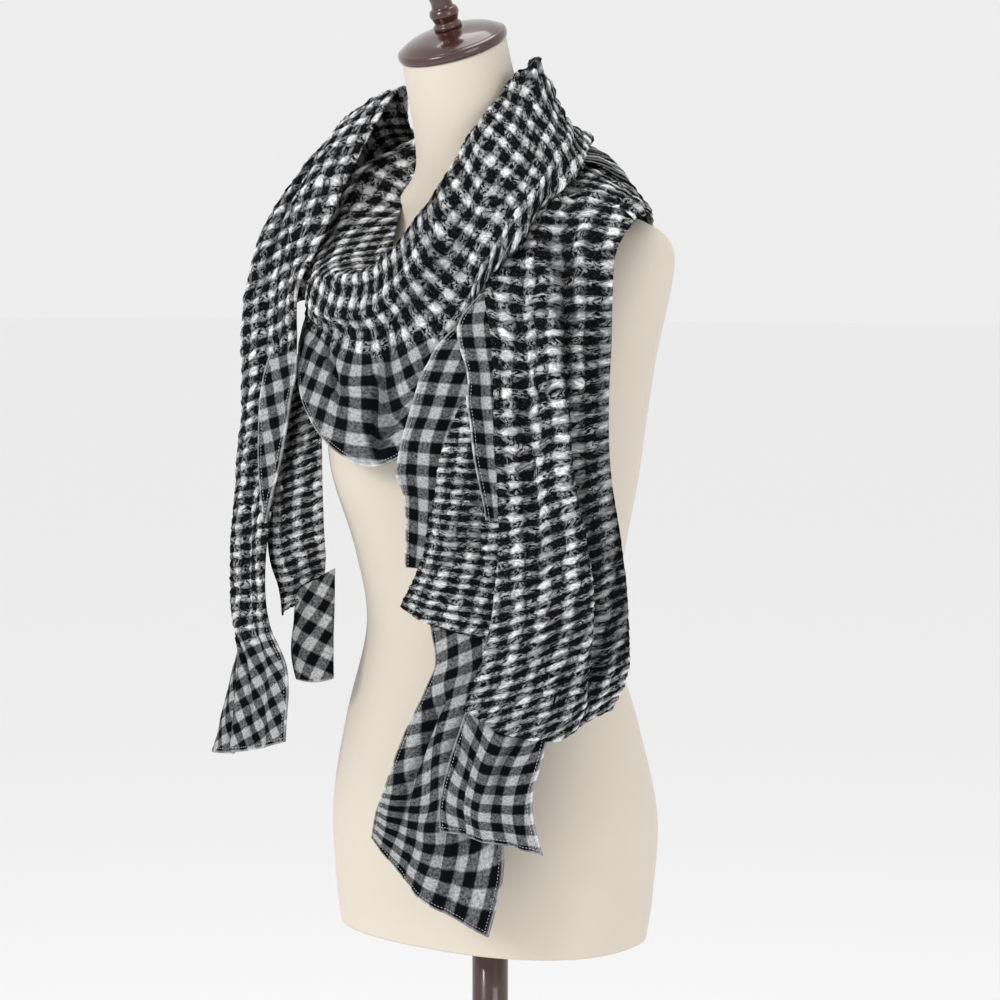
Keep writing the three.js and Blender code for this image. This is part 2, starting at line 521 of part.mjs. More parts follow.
function nearForm(point) {
  const [x, y, z] = point.toArray().map((v) => Math.floor(v / FORM_CELL));
  const found = [];
  for (const a of [-1, 0, 1]) for (const b of [-1, 0, 1]) for (const c of [-1, 0, 1]) {
    found.push(...(formCells.get([x + a, y + b, z + c].join()) ?? []));
  }
  return found;
}

const LEFT = -1; // seen from outside, the inner edge of a left stretch is at the viewer's left
const RIGHT = 1;
const stretches = {};

function lay(name, sheet, side, below, closed = false) {
  const folded = fold(sheet, FOLDS[name] ?? [], side, closed);
  const clear = offForm(folded, CLOTH + LAYER_GAP);
  stretches[name] = { sheet: layOver(clear, below, side, closed), side, closed };
}

function raise(name, below) {
  const { sheet, side, closed } = stretches[name];
  stretches[name].sheet = layOver(sheet, below, side, closed);
}

// Lets a stretch down by depth onto what it lies on.
function settle(name, depth) {
  const { sheet, side, closed } = stretches[name];
  const out = outward(sheet, side, closed);
  stretches[name].sheet = sheet.map((row, j) => row.map((p, i) => p.clone().addScaledVector(out[j][i], -depth)));
}

const face = (name, keep) => samples(stretches[name].sheet, keep);

// Regions that say which part of a lower stretch a higher one lies on.
const onShoulder = (p) => p.z > 1324;
const overShoulder = (p) => p.y > -60;
const chest = (p) => p.z < 1345;
const lowChest = (p) => p.z < 1302;
const nape = (p) => p.x > -80 && (p.y > 12 || p.x > 30);
const rightSide = (p) => p.x < -60 && p.y < 6;

lay("left_under_fall", fallSheet(LEFT_UNDER_FALL, 18, 8), LEFT, []);
lay("left_outer_border", fallSheet(LEFT_OUTER_BORDER, 10, 8), LEFT, face("left_under_fall"));
lay("left_outer_fall", fallSheet(LEFT_OUTER_FALL, 40, 8), LEFT, face("left_outer_border"));
lay("right_inner_border", fallSheet(RIGHT_INNER_BORDER, 8, 4), RIGHT, []);
lay("right_inner_fall", fallSheet(RIGHT_INNER_FALL, 18, 5), RIGHT, face("right_inner_border"));
lay("back_and_right_fall", fallSheet(BACK_AND_RIGHT_FALL, 64, 11), RIGHT, face("left_outer_fall", overShoulder));
lay("cowl", cowlSheet(52, 14), RIGHT, [
  ...face("left_outer_fall", onShoulder), ...face("right_inner_fall"), ...face("back_and_right_fall", nape),
], true);
lay("left_edge_band", fallSheet(LEFT_EDGE_BAND, 20, 3), LEFT, face("cowl", chest));
lay("left_inner_fall", fallSheet(LEFT_INNER_FALL, 18, 7), LEFT,
  [...face("left_edge_band"), ...face("left_under_fall"), ...face("cowl", chest)]);
lay("left_neck_band", fallSheet(LEFT_NECK_BAND, 20, 3), LEFT,
  [...face("left_edge_band"), ...face("left_inner_fall"), ...face("cowl", chest)]);
raise("left_outer_fall", [
  ...face("left_neck_band"), ...face("left_inner_fall"), ...face("left_edge_band"), ...face("cowl", lowChest),
]);
raise("cowl", face("left_outer_fall", onShoulder));
lay("shoulder_tuck", fallSheet(SHOULDER_TUCK, 8, 5), LEFT, face("left_outer_fall"));
settle("shoulder_tuck", 1.8);
raise("back_and_right_fall", [
  ...face("cowl", rightSide), ...face("right_inner_fall"), ...face("right_inner_border"),
]);
lay("right_border_fold", fallSheet(RIGHT_BORDER_FOLD, 14, 4), RIGHT,
  [...face("back_and_right_fall"), ...face("cowl", chest)]);
settle("right_border_fold", 1.1);

// ---- the wooden parts ----
// A turned piece from its outline, pairs of radius and height from the axis back to the axis.
function turned(outline, sides) {
  const geometry = new THREE.LatheGeometry(outline.map(([r, z]) => new THREE.Vector2(r, z)), sides);
  geometry.rotateX(Math.PI / 2);
  geometry.deleteAttribute("normal");
  geometry.deleteAttribute("uv");
  return geometry;
}

const CAP_HEIGHT = 18;
function neckCap() {
  return turned([
    [0, 0], [NECK_TOP.radius, 0], [47.6, 1.2], [48, 4], [47.2, 7], [44.5, 8.6], [43, 9.6],
    [36, 13.2], [26, 16], [15, CAP_HEIGHT], [0, CAP_HEIGHT],
  ], 30);
}

function finial() {
  return turned([
    [0, 0], [12, 0], [12.4, 3], [10.4, 5.5], [11.4, 9], [12.8, 13], [11.6, 17], [9.4, 19], [9.2, 24],
    [10.8, 31], [14, 39], [18, 47.5], [20.2, 56], [20, 65], [17.4, 74], [12.6, 81.5], [6.5, 86], [0, 87.5],
  ], 20);
}

function foot() {
  const { radius, rim, height, boss } = FOOT;
  return turned([
    [0, 0], [radius - 2, 0], [radius, 2], [radius, rim - 2], [radius - 3, rim], [radius - 22, rim + 3],
    [radius * 0.5, rim + 12], [boss + 14, rim + 20], [boss + 3, height - 6], [boss, height], [0, height],
  ], 40);
}

function pole() {
  const length = TORSO_BOTTOM - FOOT.height - 2 * SEAM;
  const geometry = new THREE.CylinderGeometry(POLE_RADIUS, POLE_RADIUS, length, 24);
  geometry.rotateX(Math.PI / 2);
  geometry.translate(0, 0, FOOT.height + SEAM + length / 2);
  geometry.deleteAttribute("normal");
  geometry.deleteAttribute("uv");
  return geometry;
}

// ---- the whole object ----
const scarfOnForm = new THREE.Group();

function add(name, geometry, look, parent = scarfOnForm) {
  const body = mergeVertices(geometry, 1e-4);
  body.computeVertexNormals();
  const mesh = new THREE.Mesh(body, new THREE.MeshStandardMaterial(COLOURS[look]));
  mesh.name = name;
  parent.add(mesh);
  return mesh;
}

add("form_torso", torsoSolid(), "jersey");
add("stand_foot", foot(), "mahogany");
add("stand_pole", pole(), "mahogany");
const neckTop = new THREE.Group();
neckTop.position.set(0, NECK_TOP.y, NECK_TOP.z);
neckTop.rotation.x = radians(NECK_TILT);
scarfOnForm.add(neckTop);
add("neck_cap", neckCap(), "mahogany", neckTop).position.z = SEAM;
add("finial", finial(), "mahogany", neckTop).position.z = CAP_HEIGHT + 2 * SEAM;

const GINGHAM = [
  "left_under_fall", "left_outer_border", "left_edge_band", "left_neck_band", "right_inner_border",
  "right_border_fold",
];
for (const [name, { sheet, side, closed }] of Object.entries(stretches)) {
  add(name, wall(sheet, side, closed), GINGHAM.includes(name) ? "gingham" : "puckered");
}

export default scarfOnForm;
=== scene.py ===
import math

import bpy
import numpy as np
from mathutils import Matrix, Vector
from mathutils.bvhtree import BVHTree


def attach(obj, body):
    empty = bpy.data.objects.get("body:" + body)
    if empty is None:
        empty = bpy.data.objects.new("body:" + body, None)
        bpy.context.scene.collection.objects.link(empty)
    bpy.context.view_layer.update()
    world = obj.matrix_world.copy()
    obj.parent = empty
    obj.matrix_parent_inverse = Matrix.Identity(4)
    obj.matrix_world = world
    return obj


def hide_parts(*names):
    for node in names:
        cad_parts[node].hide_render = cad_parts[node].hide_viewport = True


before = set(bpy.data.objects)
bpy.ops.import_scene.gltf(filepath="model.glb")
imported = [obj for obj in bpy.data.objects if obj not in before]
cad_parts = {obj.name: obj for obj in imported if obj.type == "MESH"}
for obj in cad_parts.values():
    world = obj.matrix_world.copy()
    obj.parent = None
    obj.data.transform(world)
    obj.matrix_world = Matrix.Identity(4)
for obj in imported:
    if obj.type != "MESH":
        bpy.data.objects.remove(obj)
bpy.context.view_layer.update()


# ---- camera, floor and light ----
# A long lens a little above the chest, turned towards the form's left front, in a plain white
# studio: a broad lamp in front on the form's right, a softer one on its left and one above.
def in_scene(name, data):
    """A new object of the scene with that data."""
    made = bpy.data.objects.new(name, data)
    bpy.context.scene.collection.objects.link(made)
    return made


camera = in_scene("camera", bpy.data.cameras.new("camera"))
bpy.context.scene.camera = camera
camera.data.lens = 98.2
camera.location = (1.480, -1.880, 1.3313)
aim = Vector((0.0069, 0.0054, 1.143))
camera.rotation_euler = (aim - camera.location).to_track_quat("-Z", "Y").to_euler()
bpy.context.scene.view_settings.view_transform = "Standard"

FLOOR_REACH = 80
floor_corners = [(x * FLOOR_REACH, y * FLOOR_REACH, 0) for x, y in ((-1, -1), (1, -1), (1, 1), (-1, 1))]
floor_mesh = bpy.data.meshes.new("floor")
floor_mesh.from_pydata(floor_corners, [], [(0, 1, 2, 3)])
floor = in_scene("floor", floor_mesh)
paint = bpy.data.materials.new("studio_floor")
paint.use_nodes = True
matt = paint.node_tree.nodes["Principled BSDF"].inputs
matt["Base Color"].default_value = (0.98, 0.98, 0.98, 1)
matt["Roughness"].default_value = 1.0
floor_mesh.materials.append(paint)

studio = bpy.data.worlds.new("studio")
bpy.context.scene.world = studio
studio.use_nodes = True
walls = studio.node_tree.nodes["Background"].inputs
walls["Color"].default_value = (1, 1, 1, 1)
walls["Strength"].default_value = 0.85


def lamp(name, place, size, power):
    """A round soft lamp, turned towards the scarf."""
    light = bpy.data.lights.new(name, "AREA")
    light.shape = "DISK"
    light.size = size
    light.energy = power
    holder = in_scene(name, light)
    holder.location = place
    holder.rotation_euler = (Vector((0, 0, 1.2)) - Vector(place)).to_track_quat("-Z", "Y").to_euler()


lamp("front_lamp", (-0.3, -2.6, 2.3), 1.0, 34)
lamp("left_lamp", (2.8, -0.9, 1.7), 1.6, 14)
lamp("top_lamp", (-0.4, 0.2, 3.4), 1.4, 14)


# ---- covered torso ----
# Moulded body and neck under pale knitted cotton, with no arms. It is worked out from level
# sections, closed flat below and under the wooden cap. Sizes are in millimetres.
MM = 0.001
TORSO_BOTTOM = 762
NECK_TOP, NECK_TOP_Y = 1533, -50
NECK_RADIUS, NECK_TILT = 46, 24
BODY_SQUARENESS, NECK_SQUARENESS = 2.3, 2
# height, half width, depth in front, depth behind, middle, tilt in degrees
torso_sections = [
    (TORSO_BOTTOM, 146, 98, 106, 0, 0),
    (800, 151, 101, 112, 0, 0),
    (870, 154, 102, 117, 0, 0),
    (950, 138, 96, 100, 0, 0),
    (1030, 117, 85, 80, 0, 0),
    (1095, 126, 90, 84, 0, 0),
    (1160, 139, 98, 92, 0, 0),
    (1220, 148, 101, 98, 0, 0),
    (1270, 158, 95, 98, 0, 0),
    (1310, 171, 84, 88, 2, 0),
    (1340, 181, 72, 76, 3, 0),
    (1360, 184, 62, 64, 3, 0),
    (1376, 174, 54, 56, 2, 0),
    (1391, 140, 51, 55, 0, 1),
    (1405, 104, 51, 55, -4, 3),
    (1420, 74, 50, 53, -10, 6),
    (1440, 56, 49, 49, -18, 10),
    (1470, 49, 47, 47, -29, 15),
    (1505, 47, 46, 46, -41, 21),
    (NECK_TOP, NECK_RADIUS, NECK_RADIUS, NECK_RADIUS, NECK_TOP_Y, NECK_TILT),
]
bust = dict(x=72, z=1185, height=27, spread=44)


class Wire:
    """One value in a material's nodes, or the nodes themselves when it holds no socket."""

    def __init__(self, tree, socket=None):
        self.tree = tree
        self.socket = socket

    def node(self, kind, settings=None, out=0, **inputs):
        """One more node, with its settings, and its inputs by name or by number after a low line."""
        made = self.tree.nodes.new(kind)
        for key, value in (settings or {}).items():
            setattr(made, key, value)
        for key, value in inputs.items():
            socket = made.inputs[int(key[1:]) if key[1:].isdigit() else key.replace("_", " ")]
            if isinstance(value, Wire):
                self.tree.links.new(value.socket, socket)
            else:
                socket.default_value = value
        return Wire(self.tree, made.outputs[out] if made.outputs else None)

    def maths(self, operation, a, b):
        return self.node("ShaderNodeMath", dict(operation=operation), _0=a, _1=b)

    def __add__(self, other):
        return self.maths("ADD", self, other)

    def __sub__(self, other):
        return self.maths("SUBTRACT", self, other)

    def __rsub__(self, other):
        return self.maths("SUBTRACT", other, self)

    def __mul__(self, other):
        return self.maths("MULTIPLY", self, other)

    __radd__ = __add__
    __rmul__ = __mul__

    def clamp(self):
        return self.node("ShaderNodeClamp", Value=self)

    def contrast(self, gain, middle=0.5):
        """gain times as steep, with 0.5 turned into middle, and cut off at 0 and 1."""
        return ((self - 0.5) * gain + middle).clamp()

    def blend(self, low, high):
        """low where this is 0 and high where it is 1."""
        return low + self * (high - low)

    def colours(self, low, high):
        """The same between two colours."""
        return self.node("ShaderNodeMix", dict(data_type="RGBA"), out=2, _0=self, _6=low, _7=high)

    def noise(self, place, scale, detail=2.0, roughness=0.5):
        return self.node("ShaderNodeTexNoise", Vector=place, Scale=scale, Detail=detail, Roughness=roughness)

    def vector(self, x, y):
        return self.node("ShaderNodeCombineXYZ", X=x, Y=y)

    def ribs(self, place, scale, **inputs):
        """Slanting ribs, as of knitted cloth or twisted thread."""
        return self.node("ShaderNodeTexWave", dict(bands_direction="DIAGONAL"), out=1,
                         Vector=place, Scale=scale, **inputs)

    def bump(self, height, distance, strength):
        return self.node("ShaderNodeBump", Height=height, Distance=distance, Strength=strength)


def material(name):
    """A new material, and its empty nodes to wire."""
    made = bpy.data.materials.new(name)
    made.use_nodes = True
    made.node_tree.nodes.clear()
    return made, Wire(made.node_tree)


def finish(wire, **inputs):
    """The material's surface, from the inputs of its shader."""
    shader = wire.node("ShaderNodeBsdfPrincipled", **inputs)
    wire.node("ShaderNodeOutputMaterial", Surface=shader)


def through(rows, places, closed=False):
    """A smooth value at each place from 0 to 1 along rows of numbers."""
    rows = np.asarray(rows, float)
    spans = len(rows) if closed else len(rows) - 1
    place = np.clip(places, 0, 1) * spans
    first = np.minimum(place.astype(int), spans - 1)
    s = (place - first).reshape(-1, *[1] * (rows.ndim - 1))

    def pick(step):
        """The row that many steps on from the one before each place."""
        index = first + step
        return rows[index % len(rows) if closed else np.clip(index, 0, len(rows) - 1)]

    a, b, c, d = (pick(step) for step in (-1, 0, 1, 2))
    return b + 0.5 * s * (c - a + s * (2 * a - 5 * b + 4 * c - d + s * (3 * (b - c) + d - a)))


def smooth(x, start, end):
    """0 up to start and 1 from end on, with a soft slope between."""
    t = np.clip((x - start) / (end - start), 0, 1)
    return t * t * (3 - 2 * t)


def torso_rings(count, sides):
    """Rings of points round the body, one for each step up it."""
    z, half, front, back, middle, lean = through(torso_sections, np.linspace(0, 1, count)).T[:, :, None]
    angle = np.linspace(0, 2 * np.pi, sides, endpoint=False)[None, :]
    power = BODY_SQUARENESS + (NECK_SQUARENESS - BODY_SQUARENESS) * smooth(z, 1400, 1440)
    squarish = lambda v: np.sign(v) * np.abs(v) ** (2 / power)
    x = half * squarish(np.sin(angle))
    facing = -np.cos(angle)
    y = np.where(facing < 0, front, back) * squarish(facing)
    for peak in (-bust["x"], bust["x"]):
        away = ((x - peak) ** 2 + (z - bust["z"]) ** 2) / (2 * bust["spread"] ** 2)
        y -= bust["height"] * np.exp(-away) * np.clip(-facing * 1.6, 0, 1)
    tilt = np.radians(lean)
    return np.stack(np.broadcast_arrays(x, middle + y * np.cos(tilt), z + y * np.sin(tilt)), axis=2)


def ring_faces(rings, sides):
    """Faces between rings of points that follow one another."""
    return [(low + k, low + (k + 1) % sides, low + sides + (k + 1) % sides, low + sides + k)
            for low in range(0, (rings - 1) * sides, sides) for k in range(sides)]


def add_piece(name, points, faces, made):
    """A smooth piece of the form or the scarf, from points in millimetres."""
    mesh = bpy.data.meshes.new(name)
    mesh.from_pydata((np.asarray(points) * MM).tolist(), [], faces)
    mesh.materials.append(made)
    mesh.shade_smooth()
    piece = in_scene(name, mesh)
    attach(piece, "root")
    return piece


jersey, wire = material("jersey")
place = wire.node("ShaderNodeTexCoord", out=3)
ribs = wire.ribs(place, 420.0, Distortion=1.2, Detail=1.0)
soil = wire.noise(place, 9.0, 3.0)
grain = wire.noise(place, 900.0, 2.0)
tone = soil.colours((0.66, 0.595, 0.50, 1), (0.71, 0.65, 0.56, 1))
finish(wire, Base_Color=(grain * 0.3).colours(tone, (0.6, 0.52, 0.42, 1)), Roughness=0.85,
       Sheen_Weight=0.25, Sheen_Roughness=0.4,
       Normal=wire.bump(ribs * 0.5 + grain * 0.5, 0.0004, 0.6))

RINGS, SIDES = 221, 160
points = list(torso_rings(RINGS, SIDES).reshape(-1, 3))
below, above, top_ring = len(points), len(points) + 1, (RINGS - 1) * SIDES
points += [(0, 0, TORSO_BOTTOM), (0, NECK_TOP_Y, NECK_TOP)]
faces = ring_faces(RINGS, SIDES)
for k in range(SIDES):
    after = (k + 1) % SIDES
    faces += [(below, after, k), (above, top_ring + k, top_ring + after)]
torso = add_piece("torso_cover", points, faces, jersey)
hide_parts("form_torso")


# ---- wooden cap, finial, pole and foot ----
# Turned hardwood, stained dark red-brown and varnished. The cap closes the neck's slanted top,
# the finial screws into it, and the pole stands in the foot's boss.
mahogany, wire = material("dark_wood")
place = wire.node("ShaderNodeTexCoord", out=3)
figure = wire.noise(wire.node("ShaderNodeMapping", Vector=place, Scale=(60.0, 60.0, 9.0)), 1.0, 5.0, 0.65)
pores = wire.noise(wire.node("ShaderNodeMapping", Vector=place, Scale=(900.0, 900.0, 60.0)), 1.0, 2.0)
tone = figure.colours((0.012, 0.0025, 0.0015, 1), (0.085, 0.016, 0.007, 1))
finish(wire, Base_Color=(pores * 0.35).colours(tone, (0.01, 0.002, 0.0015, 1)),
       Roughness=figure.blend(0.2, 0.3), Coat_Weight=0.8, Coat_Roughness=0.06,
       Normal=wire.bump(pores, 0.0002, 0.25))


def turned(name, node, outline, sides, tilt=0, base=(0, 0, 0)):
    """A piece turned round its own axis, from radii and heights up it, in the place of its node."""
    lean = math.radians(tilt)
    points = []
    for radius, height in outline:
        for k in range(sides):
            angle = 2 * math.pi * k / sides
            x, y, z = radius * math.cos(angle), radius * math.sin(angle), height
            points.append((base[0] + x, base[1] + y * math.cos(lean) - z * math.sin(lean),
                           base[2] + y * math.sin(lean) + z * math.cos(lean)))
    bottom = tuple(range(sides))[::-1]
    top = tuple((len(outline) - 1) * sides + k for k in range(sides))
    piece = add_piece(name, points, ring_faces(len(outline), sides) + [bottom, top], mahogany)
    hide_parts(node)


def rounded(outline, steps):
    """The outline with each stretch smoothed through its neighbours."""
    return through(outline, np.linspace(0, 1, (len(outline) - 1) * steps + 1))


JOINT = 0.3
POLE_RADIUS, POLE_CHAMFER = 16, 1
cap_outline = [(NECK_RADIUS, 0), (47.6, 1.2), (48, 4), (47.2, 7), (44.5, 8.6), (43, 9.6),
               (36, 13.2), (26, 16), (15, 18), (0.5, 18)]
finial_outline = [(12, 0), (12.4, 3), (10.4, 5.5), (11.4, 9), (12.8, 13), (11.6, 17), (9.4, 19),
                  (9.2, 24), (10.8, 31), (14, 39), (18, 47.5), (20.2, 56), (20, 65), (17.4, 74),
                  (12.6, 81.5), (6.5, 86), (0.5, 87.5)]
foot_outline = [(163, 0), (165, 2), (165, 7), (162, 9), (143, 12), (82.5, 21), (38, 29), (27, 38),
                (24, 44), (0.5, 44)]
low, high = foot_outline[-1][1] + JOINT, TORSO_BOTTOM - JOINT
pole_outline = [(POLE_RADIUS - POLE_CHAMFER, low), (POLE_RADIUS, low + POLE_CHAMFER),
                (POLE_RADIUS, high - POLE_CHAMFER), (POLE_RADIUS - POLE_CHAMFER, high)]
neck = np.array((0, NECK_TOP_Y, NECK_TOP))
upward = np.array((0, -math.sin(math.radians(NECK_TILT)), math.cos(math.radians(NECK_TILT))))
cap_top = cap_outline[-1][1] + 2 * JOINT
turned("cap", "neck_cap", rounded(cap_outline, 5), 96, NECK_TILT, neck + JOINT * upward)
turned("turned_finial", "finial", rounded(finial_outline, 5), 72, NECK_TILT, neck + cap_top * upward)
turned("foot", "stand_foot", rounded(foot_outline, 6), 128)
turned("pole", "stand_pole", pole_outline, 64)


# ---- cowl ----
# First pass of the scarf round the neck: a puckered roll whose flat border hangs as a pouch over
# the chest. Each row is one direction round the neck, in degrees from straight ahead towards the
# form's left, with how far out and how high its neck edge, crest, bulge, seam and hem lie.
NECK_AXIS_Y = -25
# The cloth's thickness, one check, and the hem's width.
CLOTH = 1.3
CHECK = 11
HEM = 4.5
cowl_sections = [
    (-150, (54, 1476), (66, 1498), (83, 1486), (91, 1464), (93, 1446)),
    (-122, (56, 1460), (71, 1480), (88, 1472), (95, 1462), (98, 1454)),
    (-98, (58, 1438), (80, 1458), (99, 1448), (108, 1430), (110, 1416)),
    (-82, (62, 1420), (101, 1440), (120, 1426), (128, 1396), (127, 1376)),
    (-70, (64, 1402), (113, 1413), (131, 1394), (139, 1358), (138, 1336)),
    (-58, (66, 1384), (123, 1376), (141, 1345), (147, 1304), (150, 1284)),
    (-47, (69, 1366), (130, 1352), (145, 1320), (134, 1289), (149, 1240)),
    (-35, (74, 1350), (128, 1343), (140, 1310), (126, 1281), (140, 1209)),
    (-22, (78, 1338), (124, 1341), (134, 1306), (121, 1273), (131, 1190)),
    (-8, (78, 1334), (118, 1346), (128, 1308), (116, 1271), (125, 1180)),
    (4, (72, 1344), (108, 1369), (122, 1320), (113, 1276), (120, 1184)),
    (15, (66, 1370), (92, 1402), (117, 1344), (112, 1288), (120, 1200)),
    (27, (62, 1400), (79, 1433), (112, 1378), (113, 1306), (110, 1228)),
    (36, (59, 1426), (72, 1456), (111, 1394), (117, 1326), (103, 1270)),
    (42, (58, 1438), (69, 1466), (109, 1406), (123, 1348), (120, 1326)),
    (50, (57, 1450), (67, 1477), (106, 1422), (124, 1376), (125, 1358)),
    (62, (55, 1464), (64, 1492), (100, 1446), (118, 1410), (120, 1393)),
    (76, (54, 1480), (62, 1511), (88, 1474), (106, 1442), (110, 1425)),
    (98, (53, 1492), (60, 1520), (75, 1500), (86, 1470), (90, 1450)),
    (125, (51, 1498), (57, 1526), (69, 1508), (79, 1478), (83, 1454)),
    (152, (49, 1496), (56, 1525), (69, 1510), (79, 1480), (83, 1455)),
    (180, (49, 1488), (59, 1515), (75, 1501), (84, 1472), (87, 1450)),
]


def outward(sheet, side, closed=False):
    """The outward direction at each point of a sheet. side, 1 or -1, says which face is outside."""
    if closed:
        loop = sheet[:-1]
        along = np.roll(loop, -1, axis=0) - np.roll(loop, 1, axis=0)
        along = np.concatenate((along, along[:1]))
    else:
        along = np.gradient(sheet, axis=0)
    normal = side * np.cross(np.gradient(sheet, axis=1), along)
    return normal / np.linalg.norm(normal, axis=2, keepdims=True)


def seated(sheet, node, side, closed=False, depth=12, reach=45, skip=0.02):
    """The sheet moved out or in onto the outer face of its node's solid, which is looked for from
    depth inside the sheet to reach beyond that. Points that miss it take their neighbours' move."""
    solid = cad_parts[node].data
    tree = BVHTree.FromPolygons([corner.co * 1000 for corner in solid.vertices],
                                [tuple(face.vertices) for face in solid.polygons])
    out = outward(sheet, side, closed)
    rows, columns = sheet.shape[:2]
    # Points on the edges are looked for a little inside them, where the solid is sure to be met.
    inset_rows = np.linspace(0, 1, rows) if closed else np.linspace(0.006, 0.994, rows)
    probe = through(sheet, inset_rows)
    probe = through(probe.swapaxes(0, 1), np.linspace(0.008, 0.992, columns)).swapaxes(0, 1)
    lifts = np.full((rows, columns), np.nan)
    for j in range(rows):
        for i in range(columns):
            direction = Vector(out[j, i])
            start = Vector(probe[j, i]) - direction * depth
            travelled = 0
            while travelled < reach:
                hit, normal, _, distance = tree.ray_cast(start, direction, reach - travelled)
                if hit is None:
                    break
                travelled += distance + skip
                if normal.dot(direction) > 0.2:
                    lifts[j, i] = travelled - depth
                    break
                start = hit + direction * skip
    missed = np.isnan(lifts)
    lifts[missed] = 0
    known = (~missed).astype(float)
    for _ in range(12):
        total, weight = np.zeros_like(lifts), np.zeros_like(lifts)
        for move in ((0, 1), (0, -1), (1, 0), (-1, 0)):
            total += np.roll(lifts * known, move, axis=(0, 1))
            weight += np.roll(known, move, axis=(0, 1))
        fill = missed & (known == 0) & (weight > 0)
        lifts[fill] = total[fill] / weight[fill]
        known[fill] = 1
    return sheet + out * lifts[:, :, None]


def spaced(steps, length=1.0, hems=(False, False)):
    """Even places from 0 to 1, with a few more across a hem at the start or the end."""
    places = np.linspace(0, 1, steps + 1)
    edge = np.array((0.5, 1.2, HEM - 0.8, HEM, HEM + 0.8)) / length
    for hemmed, more in zip(hems, (edge, 1 - edge)):
        if hemmed:
            places = np.concatenate((places, more))
    return np.unique(np.round(places, 4))


def refined(sheet, rows, columns, closed=False):
    """The same surface at finer places down and across it."""
    finer = through(sheet[:-1] if closed else sheet, rows, closed)
    return through(finer.swapaxes(0, 1), columns).swapaxes(0, 1)


def running_mean(values, count, axis):
    """Each value's mean with its neighbours along one axis."""
    padding = [(0, 0), (0, 0)]
    padding[axis] = (count // 2, count // 2)
    total = np.cumsum(np.pad(values, padding, mode="edge"), axis=axis)
    total = np.concatenate((np.zeros_like(np.take(total, [0], axis=axis)), total), axis=axis)
    last = np.arange(values.shape[axis]) + count
    return (np.take(total, last, axis=axis) - np.take(total, last - count, axis=axis)) / count


def step_lengths(sheet, axis):
    """How far each point is from the next one, down the sheet on axis 0 or across it on axis 1."""
    return np.linalg.norm(np.diff(sheet, axis=axis), axis=2)


def measured(sheet, at, across=1, along=1, give=0.0, square=0.0, closed=False):
    """How far each point is across and down the flat cloth from one point of it, in millimetres.
    across and along say how short the elastic draws the cloth, and give, from 0 to 1, how far a
    row's checks fan out with it instead of each keeping its length, as they all do near the neck
    edge of a closed ring. square, from 0 to 1, turns them to run square to the rows."""
    count, columns = sheet.shape[:2]
    over = step_lengths(sheet, 1) / np.broadcast_to(across, (count, columns))[:, :-1]
    down = step_lengths(sheet, 0) / np.broadcast_to(along, (count, columns))[:-1]
    if closed:
        give = give + (1 - give) * np.clip(1.8 - 4.5 * np.arange(columns) / columns, 0, 1)
    down = down + give * (down.mean(axis=1, keepdims=True) - down)
    u = np.concatenate((np.zeros((count, 1)), np.cumsum(over, axis=1)), axis=1)
    v = np.concatenate((np.zeros((1, columns)), np.cumsum(down, axis=0)))
    row, column = int(at[0] * (count - 1)), int(at[1] * (columns - 1))
    u = u - u[:, column:column + 1]
    v = v - v[row:row + 1]
    if np.any(square):
        ways = [np.gradient(sheet, axis=axis) for axis in (1, 0)]
        over_way, down_way = (way / np.linalg.norm(way, axis=2, keepdims=True) for way in ways)
        tilt = running_mean(np.sum(over_way * down_way, axis=2), 31, 0)
        ring_tilt = np.broadcast_to(tilt.mean(axis=1, keepdims=True), tilt.shape)
        tilt = running_mean(tilt, 15, 1)[:, :-1] * square
        if closed:
            tilt[:, column:] = ring_tilt[:, column:-1]
            tilt = tilt * np.clip((np.arange(tilt.shape[1]) / column - 0.2) / 0.3, 0, 1)
        spread = np.diff(u, axis=1)
        for values, steps in ((u, spread * (np.sqrt(1 - tilt ** 2) - 1)), (v, spread * tilt)):
            added = np.concatenate((np.zeros((count, 1)), np.cumsum(steps, axis=1)), axis=1)
            values += added - added[:, column:column + 1]
    return np.stack((u, v), axis=2)


def lattice_noise(x, y, seed):
    """Smooth noise from -1 to 1 with one bump to each unit of x and y."""
    random = np.random.default_rng(seed).uniform(-1, 1, (128, 128))
    i, j = np.floor(x).astype(int), np.floor(y).astype(int)
    fx, fy = x - i, y - j
    fx, fy = fx * fx * (3 - 2 * fx), fy * fy * (3 - 2 * fy)
    at = lambda a, b: random[(i + a) % 128, (j + b) % 128]
    low = at(0, 0) * (1 - fx) + at(1, 0) * fx
    high = at(0, 1) * (1 - fx) + at(1, 1) * fx
    return low * (1 - fy) + high * fy


def crease(start, end, height, width, bend=0, fade=0.6, take=0):
    """A soft crease between two places, each down the sheet and across it from 0 to 1. height is
    below 0 for a trough, width is half its width, bend is how far it bows, and it dies away from
    fade on. take is how much cloth it takes in, and one that takes some is steeper on one side."""
    return dict(start=start, end=end, height=height, width=width, bend=bend, fade=fade, take=take)


